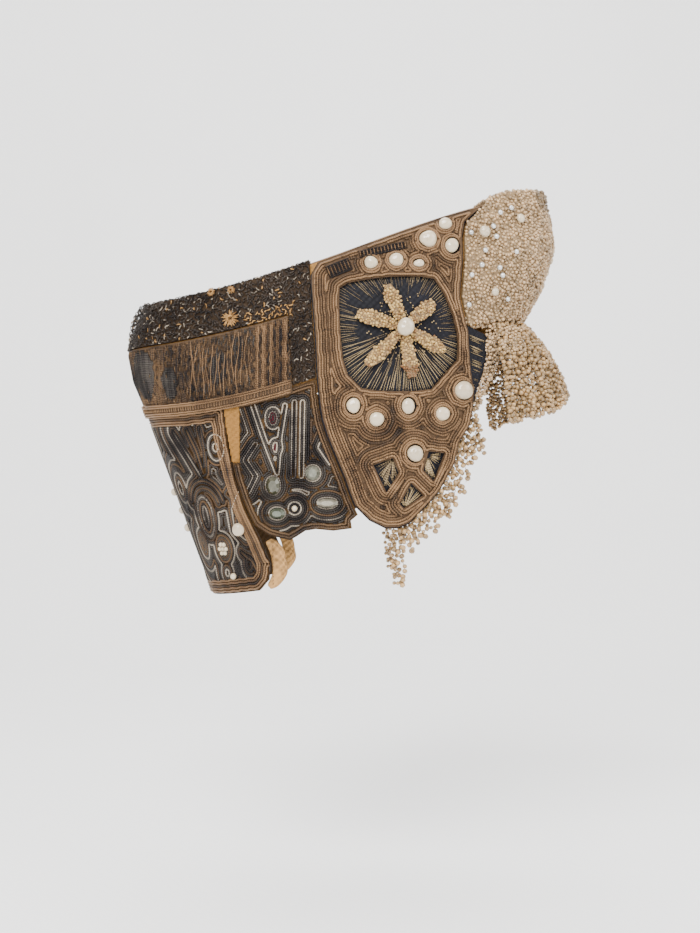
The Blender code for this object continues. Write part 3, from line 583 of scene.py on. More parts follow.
def bead_shape(sides=6, rings=4):
    """The points and faces of a ball, from one pole through its rings to the other."""
    points = [(0.0, 0.0, 1.0)]
    for r in range(1, rings):
        tilt = math.pi * r / rings
        for k in range(sides):
            turn = 2 * math.pi * (k + 0.5 * (r % 2)) / sides
            points.append((math.sin(tilt) * math.cos(turn), math.sin(tilt) * math.sin(turn), math.cos(tilt)))
    points.append((0.0, 0.0, -1.0))
    last = len(points) - 1
    faces = []
    for k in range(sides):
        n = (k + 1) % sides
        faces.append((0, 1 + k, 1 + n, 1 + n))
        for r in range(rings - 2):
            a, b = 1 + r * sides, 1 + (r + 1) * sides
            if r % 2 == 0:
                faces.append((a + k, b + k, a + n, a + n))
                faces.append((a + n, b + k, b + n, b + n))
            else:
                faces.append((a + k, b + k, b + n, b + n))
                faces.append((a + k, b + n, a + n, a + n))
        low = 1 + (rings - 2) * sides
        faces.append((last, low + n, low + k, low + k))
    return np.array(points), np.array(faces)


BEAD = bead_shape()
FINE_BEAD = bead_shape(10, 6)


# Couched cords as level lines of a distance field


class Field:
    """A grid over a surface: where it is covered, and how far each place is from its edge."""

    def __init__(self, skin, step=FIELD_STEP):
        self.skin, self.step = skin, step
        low_a, high_a, low_b, high_b = skin.extent()
        self.a = np.arange(low_a - 2 * step, high_a + 2 * step, step)
        self.b = np.arange(low_b - 2 * step, high_b + 2 * step, step)
        self.mask = np.array([[skin.at(a, b) is not None for b in self.b] for a in self.a])
        inner = self.mask[1:-1, 1:-1]
        edge = np.zeros_like(self.mask)
        neighbours = self.mask[:-2, 1:-1] & self.mask[2:, 1:-1]
        neighbours &= self.mask[1:-1, :-2] & self.mask[1:-1, 2:]
        edge[1:-1, 1:-1] = inner & ~neighbours
        places = np.argwhere(edge) * step
        self.edge = self.distance_to(places) - 0.5 * step
        self.edge[~self.mask] = -step

    def distance_to(self, places):
        """Distance from every grid place to the nearest of some places, given in the grid's own frame."""
        grid = np.stack(np.meshgrid(np.arange(len(self.a)), np.arange(len(self.b)), indexing="ij"), -1)
        grid = grid.reshape(-1, 2) * self.step
        best = np.full(len(grid), 1e9)
        for chunk in np.array_split(places, max(1, len(places) // 200)):
            gap = ((grid[:, None, :] - chunk[None, :, :]) ** 2).sum(-1)
            best = np.minimum(best, gap.min(1))
        return np.sqrt(best).reshape(len(self.a), len(self.b))

    def to_lines(self, lines):
        """Distance to drawn lines, given as places on the surface."""
        places = []
        for line in lines:
            for (a0, b0), (a1, b1) in zip(line, line[1:] or line):
                pieces = max(2, int(math.dist((a0, b0), (a1, b1)) / self.step / 1.5))
                for t in np.linspace(0, 1, pieces):
                    places.append((a0 + (a1 - a0) * t, b0 + (b1 - b0) * t))
        grid_places = np.array(places) - np.array([self.a[0], self.b[0]])
        return self.distance_to(grid_places)

    def level_lines(self, values, level, inside):
        """Lines along which values meet a level, chained from the grid's cells."""
        v = values - level
        cells = inside[:-1, :-1] & inside[1:, :-1] & inside[1:, 1:] & inside[:-1, 1:]
        corners = [v[:-1, :-1], v[1:, :-1], v[1:, 1:], v[:-1, 1:]]
        above = [c > 0 for c in corners]
        code = sum(a.astype(int) << k for k, a in enumerate(above))
        mixed = np.argwhere(cells & (code > 0) & (code < 15))
        joined, places = {}, {}
        for i, j in mixed:
            crossing = []
            spots = ((i, j), (i + 1, j), (i + 1, j + 1), (i, j + 1))
            for k in range(4):
                p, q = spots[k], spots[(k + 1) % 4]
                vp, vq = v[p], v[q]
                if (vp > 0) != (vq > 0):
                    key = (p, q) if p < q else (q, p)
                    t = vp / (vp - vq)
                    places[key] = (
                        self.a[p[0]] + (self.a[q[0]] - self.a[p[0]]) * t,
                        self.b[p[1]] + (self.b[q[1]] - self.b[p[1]]) * t,
                    )
                    crossing.append(key)
            for first, second in zip(crossing[::2], crossing[1::2]):
                joined.setdefault(first, []).append(second)
                joined.setdefault(second, []).append(first)
        lines = []
        left = dict.fromkeys(sorted(joined, key=lambda key: (len(joined[key]) > 1, key)))
        while left:
            spot = next(iter(left))
            line = []
            while spot is not None:
                left.pop(spot, None)
                line.append(places[spot])
                ahead = [n for n in joined[spot] if n in left]
                spot = ahead[0] if ahead else None
            if len(line) > 4:
                if math.dist(line[0], line[-1]) < 2 * self.step:
                    line.append(line[0])
                lines.append(line)
        return lines


def smoothed(line):
    """A line with half its points, each the mean of its neighbours."""
    points = np.array(line)
    closed = math.dist(line[0], line[-1]) < 1e-6
    if closed:
        points = points[:-1]
        mean = (np.roll(points, 1, 0) + 2 * points + np.roll(points, -1, 0)) / 4
        mean = mean[::2]
        return np.concatenate([mean, mean[:1]])
    mean = points.copy()
    mean[1:-1] = (points[:-2] + 2 * points[1:-1] + points[2:]) / 4
    return np.concatenate([mean[:-1:2], mean[-1:]])


def lay(heap, skin, line, radius, tone, lift=0.0, sides=CORD_SIDES):
    """A cord laid on a surface along a line; where the surface ends, so does the cord."""
    run = []
    for a, b in line:
        found = skin.at(a, b)
        if found is None:
            heap.cord(run, radius, tone, sides)
            run = []
            continue
        place, normal = found
        run.append((place + normal * (radius * SUNK + lift), normal))
    heap.cord(run, radius, tone, sides)


def couch(heaps, field, values, inside, dice, first=0.5, count=60, edge_tone=None, fine=1.0):
    """Cords along the level lines of a field, a pitch apart, taken from the heaps in turn."""
    cords = settings("kokoshnik_cords")
    top = float(values[inside].max()) if inside.any() else 0.0
    for k in range(count):
        level = (first + k) * cords.pitch * fine
        if level > top:
            break
        for line in field.level_lines(values, level, inside):
            radius = cords.radius * fine * dice.uniform(0.86, 1.08)
            tone = dice.random() if k or edge_tone is None else edge_tone
            lay(heaps[k % len(heaps)], field.skin, smoothed(line), radius, tone)


def drawn(line):
    """A short line's places with more between them."""
    spots = []
    for (a0, b0), (a1, b1) in zip(line, line[1:]):
        spots += [(a0 + (a1 - a0) * t, b0 + (b1 - b0) * t) for t in (0.0, 0.34, 0.67)]
    return spots + line[-1:]


def arc(x, z, radius, start, end, count=14, squash=1.0):
    """Places along an arc or an ellipse, between two directions in degrees."""
    turns = np.radians(np.linspace(start, end, count))
    return [(x + radius * math.cos(t), z + radius * squash * math.sin(t)) for t in turns]


def scatter(mesh, pitch, dice, keep=lambda place, normal: True, tries=7):
    """Places over a mesh's faces about a pitch apart, with their normals."""
    chosen, cells = [], {}
    mesh.calc_loop_triangles()
    corners = [[mesh.vertices[i].co for i in t.vertices] for t in mesh.loop_triangles]
    areas = [t.area for t in mesh.loop_triangles]
    normals = [t.normal.copy() for t in mesh.loop_triangles]
    closest = (pitch * 0.86) ** 2
    around = [(i, j, k) for i in (-1, 0, 1) for j in (-1, 0, 1) for k in (-1, 0, 1)]
    for index in dice.choices(range(len(areas)), areas, k=int(sum(areas) / (pitch * pitch) * tries)):
        u, v = dice.random(), dice.random()
        if u + v > 1:
            u, v = 1 - u, 1 - v
        a, b, c = corners[index]
        place = a + (b - a) * u + (c - a) * v
        if not keep(place, normals[index]):
            continue
        key = tuple(int(math.floor(x / pitch)) for x in place)
        beside = (cells.get((key[0] + i, key[1] + j, key[2] + k), ()) for i, j, k in around)
        if any((other - place).length_squared < closest for group in beside for other in group):
            continue
        cells.setdefault(key, []).append(place)
        chosen.append((place, normals[index]))
    return chosen


def smooth_copy(node, name, levels):
    """A rounded copy of a node's mesh as a new object."""
    work = bmesh.new()
    work.from_mesh(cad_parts[node].data)
    bmesh.ops.remove_doubles(work, verts=work.verts, dist=0.00001)
    mesh = bpy.data.meshes.new(name)
    work.to_mesh(mesh)
    work.free()
    made = shown(name, mesh)
    rounding = made.modifiers.new("rounding", "SUBSURF")
    rounding.levels = rounding.render_levels = levels
    graph = bpy.context.evaluated_depsgraph_get()
    rounded = bpy.data.meshes.new_from_object(made.evaluated_get(graph), depsgraph=graph)
    made.modifiers.clear()
    made.data = rounded
    rounded.name = name
    rounded.materials.clear()
    rounded.shade_smooth()
    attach(made, "root")
    return made


def carried(node, material):
    """A solid of the frame that shows as it is, in a material of its own."""
    node_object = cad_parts[node]
    node_object.data.materials.clear()
    node_object.data.materials.append(material)


# Pieces


LOBE_WIDTH, LOBE_HEIGHT = 0.1205, 0.224
LOBE_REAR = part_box("ear_lobe_right")[0][0] + 0.0005
LOBE_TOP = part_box("ear_lobe_right")[0][2] + LOBE_HEIGHT


def on_lobe(across, down):
    """A place on the ear lobe, from shares across it and down it."""
    return LOBE_REAR + across * LOBE_WIDTH, LOBE_TOP - down * LOBE_HEIGHT


def middle_of(node):
    """The middle of a node, as x and z."""
    low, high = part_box(node)
    return (low[0] + high[0]) / 2, (low[2] + high[2]) / 2


def middle_between(first, second):
    return (first[0] + second[0]) / 2, (first[1] + second[1]) / 2


class Finishing:
    """What every finishing operator shares."""

    bl_options = {"REGISTER", "UNDO"}


class KOKOSHNIK_OT_cap(Finishing, bpy.types.Operator):
    """Finish the silk cap, its top and the cord over the seam between them"""

    bl_idname = "kokoshnik.cap"
    bl_label = "Cap"

    # Three cords lie over the seam, at these shares of the top's reach.
    INSETS = (0.985, 0.962, 0.939)

    def execute(self, context):
        cloth, cords = settings("kokoshnik_cloth"), settings("kokoshnik_cords")
        carried("crown_shell", ochre_silk())
        worn = cloth_finish("top_cloth", dim(cloth.silk, 0.55), dim(cloth.silk, 0.16), 1300.0, 0.68, 0.15)
        carried("crown_top", worn)
        low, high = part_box("crown_top")
        middle = Vector(((low[0] + high[0]) / 2, 0.0, 0.0))
        skin = Skin("crown_top")
        dice = random.Random(2)
        heap = Heap()
        for inset in self.INSETS:
            line = []
            for turn in np.linspace(0, 2 * math.pi, 241):
                ray = Vector((math.cos(turn), math.sin(turn), 0.0))
                reach = self.reach(skin, middle, ray) * inset
                found = skin.from_above(middle + ray * reach)
                if found:
                    line.append((found[0] + found[1] * cords.radius * 0.7, found[1]))
            heap.cord(line, cords.radius, dice.random() * 0.6)
        heap.build("rim_cords", gold_cord())
        return {"FINISHED"}

    def reach(self, skin, middle, ray):
        """How far the cap's top goes out along a level direction."""
        low, high = 0.02, 0.20
        for _ in range(18):
            out = (low + high) / 2
            if skin.from_above(middle + ray * out):
                low = out
            else:
                high = out
        return low


class KOKOSHNIK_OT_lobes(Finishing, bpy.types.Operator):
    """Couch the gold cords of the ear lobes and lay the gilt threads of their windows"""

    bl_idname = "kokoshnik.lobes"
    bl_label = "Ear lobes"

    # Dark patches sewn with comb stitches: start, end and height.
    COMBS = (
        ((-0.0525, -0.0290), (-0.0365, -0.0225), 0.0095),
        ((-0.0310, -0.0165), (0.0020, -0.0095), 0.0055),
    )
    # Straight gold bars between the lower windows: start and end.
    BARS = (
        ((-0.0116, -0.1819), (-0.0016, -0.1675)),
        ((0.0192, -0.1748), (0.0285, -0.1550)),
    )
    # The middle of the flower, as shares across and down the lobe.
    FLOWER = (0.523, 0.391)
    # Lower windows: the corner that the threads fan out from, their direction and half spread in degrees.
    WINDOWS = (((0.46, 0.79), 235, 75), ((0.53, 0.935), 60, 70), ((0.655, 0.775), 300, 70))
    # Beaded veins between the petals: direction in degrees, and reach.
    VEINS = ((75, 0.026), (140, 0.024), (195, 0.026), (252, 0.026), (303, 0.027), (5, 0.027))
    # How many stitches, threads round the flower, threads in a lower window, threads at the side
    # and beads in a vein.
    STITCHES, THREADS, FAN, SIDE, VEIN = 500, 170, 34, 26, 14
    # Where the surface round a pearl is felt for, how wide a finished pearl grows, and the gap to its ring.
    FEEL, GROWN, GAP = 0.0036, 1.10, 0.0008

    def execute(self, context):
        cloth, cords = settings("kokoshnik_cloth"), settings("kokoshnik_cords")
        ground = cloth_finish("dark_ground", cloth.ground, dim(cloth.ground, 2.6), 1300.0, 0.6, 0.1)
        base = cloth_finish("cordwork_base", dim(cords.gold, 0.30), cords.tarnish, 1200.0, 0.6, 0.3)
        for side in SIDES:
            carried(f"ear_lobe_{side}", ground)
            carried(f"lobe_cordwork_{side}", base)
        dice = random.Random(5)
        field = Field(SideSkin("lobe_cordwork_right"))
        heap, shade, stitches = Heap(), Heap(), Heap()
        inside = field.mask.copy()
        for start, end, height in self.COMBS:
            inside &= ~self.comb(shade, heap, field, start, end, height, dice)
        couch([heap, heap, shade], field, field.edge, inside, dice, 0.45, edge_tone=0.05)
        self.rings(heap, dice)
        for start, end in self.BARS:
            way = (Vector(end) - Vector(start)).normalized() * 0.0017
            spots = (start, middle_between(start, end), end)
            for k in (-1, 0, 1):
                line = [(x - k * way.y, z + k * way.x) for x, z in spots]
                lay(heap, field.skin, line, 0.0011, 0.1, 0.0011)
        self.stitches(stitches, field, dice)
        threads = self.threads(dice)
        piles = (
            (heap, "lobe_cords", gold_cord()),
            (shade, "lobe_dark_cords", brown_cord()),
            (stitches, "lobe_stitches", brown_cord()),
            (threads, "window_threads", gilt_thread()),
        )
        for side in SIDES:
            for pile, name, finish in piles:
                made = pile.build(f"{name}_{side}", finish, mirror=side == "left")
        return {"FINISHED"}

    def comb(self, dark, light, field, start, end, height, dice):
        """A dark strip with short light strokes across it; returns the grid places that it covers."""
        start, end = Vector(start), Vector(end)
        way = (end - start).normalized()
        up = Vector((-way.y, way.x))
        length = (end - start).length
        along = (field.a[:, None] - start.x) * way.x + (field.b[None, :] - start.y) * way.y
        over = (field.a[:, None] - start.x) * up.x + (field.b[None, :] - start.y) * up.y
        for out in np.arange(-height / 2 + 0.0006, height / 2, 0.0013):
            line = [start + way * (length * t) + up * out for t in np.linspace(0, 1, 9)]
            lay(dark, field.skin, line, 0.0007, 1.6)
        for far in np.arange(0.0012, length, 0.0024):
            foot = start + way * far
            line = [foot + up * (height * t) for t in (-0.38, 0.0, 0.34)]
            lay(light, field.skin, line, 0.00042, dice.random() * 0.4, 0.0009)
        return (along > 0) & (along < length) & (abs(over) < height / 2)

    def rings(self, heap, dice):
        """A cord round each large pearl."""
        skin = SideSkin("lobe_cordwork_right", "ear_lobe_right")
        for k in range(1, 13):
            node = f"lobe_pearl_{k:02d}_right"
            low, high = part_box(node)
            x, z = middle_of(node)
            wide, tall = (high[0] - low[0]) / 2, (high[2] - low[2]) / 2
            line = []
            for turn in np.linspace(0, 2 * math.pi, 25):
                c, d = math.cos(turn), math.sin(turn)
                found = skin.at(x + c * (wide + self.FEEL), z + d * (tall + self.FEEL))
                if found:
                    out_x = x + c * (wide * self.GROWN + self.GAP)
                    out_z = z + d * (tall * self.GROWN + self.GAP)
                    place = Vector((out_x, found[0].y, out_z))
                    line.append((place + found[1] * 0.0005, found[1]))
            heap.cord(line, 0.00105, dice.random() * 0.4)

    def stitches(self, heap, field, dice):
        """Short stitches across the cords, where they were couched down."""
        cords = settings("kokoshnik_cords")
        spots = np.argwhere(field.mask & (field.edge > 0.0006))
        slopes = np.gradient(field.edge, field.step)
        for i, j in dice.sample(list(map(tuple, spots)), self.STITCHES):
            away = Vector((slopes[0][i, j], slopes[1][i, j]))
            if away.length < 0.3:
                continue
            away = away.normalized() * cords.pitch * dice.uniform(0.55, 1.1)
            x, z = field.a[i], field.b[j]
            line = [(x - away.x, z - away.y), (x, z), (x + away.x, z + away.y)]
            lay(heap, field.skin, line, 0.00022, dice.random(), cords.radius * 1.5, FINE_SIDES)

    def threads(self, dice):
        """Gilt threads that run in from the windows' edges, and the beaded veins round the flower."""
        ground = SideSkin("ear_lobe_right")
        cover = SideSkin("lobe_cordwork_right")
        heap = Heap()
        centre = on_lobe(*self.FLOWER)
        for k in range(self.THREADS):
            angle = 2 * math.pi * (k + dice.uniform(-0.5, 0.5)) / self.THREADS
            edge = self.edge_of(cover, centre, angle, 0.060)
            low = math.sin(angle) < -0.25
            length = dice.uniform(0.25, 0.75) * edge if low else dice.uniform(0.05, 0.38) * edge
            bend = dice.uniform(-0.10, 0.10)
            tone = dice.random() * 0.8 if low else 0.6 + dice.random()
            line = []
            for t in np.linspace(edge - length, edge + 0.0006, 8):
                a = angle + bend * (edge - t) / 0.05
                line.append((centre[0] + t * math.cos(a), centre[1] + t * math.sin(a)))
            lay(heap, ground, line, dice.uniform(0.00014, 0.00027), tone, 0.0001, FINE_SIDES)
        for corner, aim, width in self.WINDOWS:
            x0, z0 = on_lobe(*corner)
            for k in range(self.FAN):
                angle = math.radians(aim + width * dice.uniform(-1, 1))
                line = []
                for t in np.linspace(0.0005, 0.026, 12):
                    x, z = x0 + t * math.cos(angle), z0 + t * math.sin(angle)
                    if cover.at(x, z) is None:
                        line.append((x, z))
                lay(heap, ground, line, 0.00026, dice.random(), 0.0001, FINE_SIDES)
        for k in range(self.SIDE):
            x, z = on_lobe(0.905 + dice.uniform(-0.02, 0.05), dice.uniform(0.41, 0.57))
            line = [(x + t * 0.0065, z - t * 0.0022) for t in np.linspace(-1, 1, 6)]
            line = [p for p in line if cover.at(*p) is None]
            lay(heap, ground, line, 0.00024, dice.random() * 0.6, 0.0001, FINE_SIDES)
        for turn, out in self.VEINS:
            for k in range(self.VEIN):
                a = math.radians(turn + 9 * math.sin(k * 0.9))
                reach = out * (0.35 + 0.62 * k / (self.VEIN - 1))
                found = ground.at(centre[0] + reach * math.cos(a), centre[1] + reach * math.sin(a))
                if found and dice.random() < 0.8:
                    heap.bead(found[0] + found[1] * 0.0004, found[1], 0.0006, dice.random())
        return heap

    def edge_of(self, cover, centre, angle, most):
        """How far the window reaches from its flower in a direction."""
        low, high = 0.010, most
        for out in np.linspace(low, high, 60):
            if cover.at(centre[0] + out * math.cos(angle), centre[1] + out * math.sin(angle)):
                return float(out)
        return high


def gilt_thread():
    return cord_finish("gilt_thread", (0.50, 0.37, 0.20), (0.14, 0.10, 0.06), 0.14, 0.4, 0.36)


class KOKOSHNIK_OT_flap(Finishing, bpy.types.Operator):
    """Embroider the back flap and sew on its small pearls"""

    bl_idname = "kokoshnik.flap"
    bl_label = "Back flap"

    # Lines of the embroidery, as x and z seen from the wearer's right, in metres.
    STROKES = (
        ((-0.160, -0.137), (-0.150, -0.152), (-0.140, -0.168)),
        ((-0.150, -0.136), (-0.143, -0.150), (-0.138, -0.166)),
        ((-0.140, -0.135), (-0.137, -0.150), (-0.136, -0.165)),
        ((-0.124, -0.165), (-0.118, -0.172), (-0.122, -0.180), (-0.114, -0.187)),
        ((-0.113, -0.178), (-0.118, -0.190), (-0.116, -0.204), (-0.108, -0.212)),
        ((-0.112, -0.220), (-0.104, -0.226), (-0.099, -0.236)),
    )
    # Rings: x and z of the middle, radius across, and height as a share of it.
    RINGS = (
        (-0.1290, -0.1480, 0.0065, 1.40),
        (-0.1290, -0.1480, 0.0020, 1.40),
        (-0.1370, -0.1960, 0.0090, 1.55),
        (-0.1246, -0.2180, 0.0062, 1.05),
        (-0.1060, -0.2280, 0.0028, 1.60),
        (-0.1200, -0.1640, 0.0036, 1.00),
        (-0.1165, -0.1850, 0.0030, 2.60),
        (-0.1400, -0.2150, 0.0034, 1.50),
        (-0.1560, -0.1760, 0.0034, 1.40),
        (-0.1220, -0.2350, 0.0024, 1.00),
    )
    # Domes: x and z of the middle, and radius.
    DOMES = (
        (-0.1360, -0.1900, 0.0140),
        (-0.1360, -0.1900, 0.0190),
    )
    # Small pearls: by the middle of the back as z and radius, then the cluster and the low one as x and z.
    BACK_PEARLS = ((-0.1790, 0.0029), (-0.1925, 0.0026), (-0.2050, 0.0031))
    CLUSTER = (-0.1246, -0.2180)
    LOW_PEARL = (-0.1170, -0.2370)
    # The gold border's width, in pitches of its cords.
    BORDER = 4.4

    def execute(self, context):
        cords, cloth = settings("kokoshnik_cords"), settings("kokoshnik_cloth")
        base = cloth_finish("flap_ground", dim(cloth.silk, 0.13), cords.black, 1200.0, 0.6, 0.25)
        carried("back_flap", base)
        dice = random.Random(11)
        field = Field(BackSkin("back_flap"), 0.0010)
        gold, black, silver, brown = Heap(), Heap(), Heap(), Heap()
        couch([gold, gold, brown], field, field.edge, field.mask, dice, 0.5, 5)
        motifs = self.motifs(field.skin)
        for line in motifs:
            thread = silver if dice.random() < 0.45 else brown
            lay(thread, field.skin, drawn(line), cords.radius * 0.8, dice.random())
        values = field.to_lines(motifs)
        inside = field.mask & (field.edge > self.BORDER * cords.pitch)
        couch([black, brown, black, silver, black, black], field, values, inside, dice, 1.0, 40, fine=FINER)
        gold.build("flap_border_cords", gold_cord())
        black.build("flap_black_cords", black_cord())
        brown.build("flap_brown_cords", brown_cord())
        silver.build("flap_silver_cords", silver_cord())
        self.pearls(field.skin, dice)
        return {"FINISHED"}

    def motifs(self, skin):
        """The flap's figures, on both sides of the middle and down it."""
        lines = []
        for hand in (1, -1):
            for stroke in self.STROKES:
                line = [skin.seen(x, z) for x, z in stroke]
                lines.append([(hand * p[0], p[1]) for p in line if p])
            for x, z, radius, tall in self.RINGS:
                middle = skin.seen(x, z)
                if middle:
                    lines.append(arc(hand * middle[0], z, radius, 0, 360, 20, tall))
            for x, z, radius in self.DOMES:
                middle = skin.seen(x, z)
                if middle:
                    lines.append(arc(hand * middle[0], z, radius, 15, 165, 18))
        for z in (-0.150, -0.176):
            lines.append(arc(0.0, z, 0.012, -30, 210, 14, 1.1))
        lines.append([(0.0, -0.190), (0.0, -0.232)])
        lines.append(arc(0.0, -0.210, 0.011, 0, 360, 18, 1.2))
        return lines

    def pearls(self, skin, dice):
        """The flap's small pearls."""
        beads = Heap()

        def sew(around, z, radius):
            found = skin.at(around, z)
            if found:
                place, normal = found
                tone = dice.random() * 0.5
                beads.bead(place + normal * radius * 0.7, normal, radius, tone, 0.85, FINE_BEAD)

        for z, radius in self.BACK_PEARLS:
            sew(0.016, z, radius)
            sew(-0.016, z, radius)
        for hand in (1, -1):
            around, z = skin.seen(*self.CLUSTER)
            sew(hand * around, z, 0.0017)
            for k in range(6):
                turn = 2 * math.pi * k / 6
                sew(hand * around + 0.0034 * math.cos(turn), z + 0.0034 * math.sin(turn), 0.0017)
            around, z = skin.seen(*self.LOW_PEARL)
            sew(hand * around, z, 0.0024)
        beads.build("flap_small_pearls", river_pearl())


class KOKOSHNIK_OT_panels(Finishing, bpy.types.Operator):
    """Embroider the side panels and finish their stones"""

    bl_idname = "kokoshnik.panels"
    bl_label = "Side panels"

    # Lines of the embroidery, as shares across and down the panel's box.
    STROKES = (
        ((0.22, 0.16), (0.30, 0.36), (0.40, 0.58)),
        ((0.46, 0.16), (0.42, 0.36), (0.40, 0.58)),
        ((0.53, 0.14), (0.52, 0.60)),
        ((0.59, 0.14), (0.58, 0.60)),
        ((0.70, 0.20), (0.78, 0.30), (0.72, 0.42), (0.80, 0.52)),
        ((0.24, 0.40), (0.16, 0.50), (0.24, 0.60), (0.18, 0.70)),
    )
    CLARET = ((0.37, 0.24, 0.0042), (0.39, 0.42, 0.0034))
    RING_PEARL = (0.53, 0.80)
    # Bare silk: a strip down the rear edge and a patch at the front top, as width and share down.
    STRIP, PATCH = (0.011, 0.52), (0.016, 0.13)
    STONES = (
        ("clear", (0.27, 0.27, 0.21)),
        ("oblong", (0.36, 0.33, 0.25)),
        ("olive", (0.070, 0.066, 0.032)),
        ("green", (0.10, 0.115, 0.075)),
    )

    def execute(self, context):
        cords, cloth = settings("kokoshnik_cords"), settings("kokoshnik_cloth")
        base = cloth_finish("panel_ground", dim(cloth.silk, 0.20), cords.black, 1400.0, 0.7)
        silk = ochre_silk()
        claret = cloth_finish("claret_silk", (0.055, 0.005, 0.010), (0.020, 0.003, 0.005), 1400.0, 0.6)
        dice = random.Random(17)
        field = Field(SideSkin("side_panel_right"), 0.0008)
        low_a, high_a, low_b, high_b = field.skin.extent()
        width, height = high_a - low_a, high_b - low_b

        def place(across, down):
            return low_a + across * width, high_b - down * height

        motifs = [[place(*p) for p in stroke] for stroke in self.STROKES]
        for name, _ in self.STONES:
            low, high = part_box(f"stone_{name}_right")
            wide, tall = high[0] - low[0], high[2] - low[2]
            motifs.append(arc(*middle_of(f"stone_{name}_right"), wide * 0.42, 0, 360, 20, tall / wide))
        motifs.append(arc(*place(*self.RING_PEARL), 0.0030, 0, 360, 16))
        patches = [(*place(across, down), size) for across, down, size in self.CLARET]
        for x, z, size in patches:
            motifs.append(arc(x, z, size, 0, 360, 16, 1.5))
        values = field.to_lines(motifs)
        a, b = field.a[:, None], field.b[None, :]
        silk_strip = (a < low_a + self.STRIP[0]) & (b > high_b - height * self.STRIP[1])
        silk_patch = (a > high_a - self.PATCH[0]) & (b > high_b - height * self.PATCH[1])
        worked = field.mask & ~silk_strip & ~silk_patch
        inside = worked & (field.edge > 2 * cords.pitch)
        black, silver, brown, edge, bits, bare = Heap(), Heap(), Heap(), Heap(), Heap(), Heap()
        for i, x in enumerate(field.a):
            run = []
            for j, z in enumerate(field.b):
                if (silk_strip | silk_patch)[i, j] and field.mask[i, j]:
                    run.append((x, z))
            lay(bare, field.skin, run, field.step * 0.62, 0.5, -0.0002)
        for line in motifs:
            lay(black, field.skin, drawn(line), cords.radius * 0.9, dice.random())
        couch([silver, black, black, brown, black], field, values, inside, dice, 1.0, 40, fine=FINER)
        couch([edge], field, field.edge, worked, dice, 0.5, 2)
        for x, z, size in patches:
            for k in range(12):
                across = size * (k - 5.5) / 6.5
                tall = 1.4 * math.sqrt(max(size * size - across * across, 0.0))
                line = [(x + across, z + tall * t) for t in np.linspace(-1, 1, 5)]
                lay(bits, field.skin, line, 0.0004, dice.random())
        for side in SIDES:
            flip = side == "left"
            carried(f"side_panel_{side}", base)
            black.build(f"panel_black_cords_{side}", black_cord(), flip)
            silver.build(f"panel_silver_cords_{side}", silver_cord(), flip)
            brown.build(f"panel_brown_cords_{side}", brown_cord(), flip)
            edge.build(f"panel_edge_cords_{side}", brown_cord(), flip)
            bits.build(f"panel_claret_{side}", claret, flip)
            bare.build(f"panel_silk_{side}", silk, flip)
            for name, colour in self.STONES:
                carried(f"stone_{name}_{side}", glass_finish(f"{name}_glass", colour))
            pearl = Heap()
            found = field.skin.at(*place(*self.RING_PEARL))
            pearl.bead(found[0] + found[1] * 0.0016, found[1], 0.0021, 0.2, 0.85, FINE_BEAD)
            pearl.build(f"panel_pearl_{side}", river_pearl(), flip)
        return {"FINISHED"}


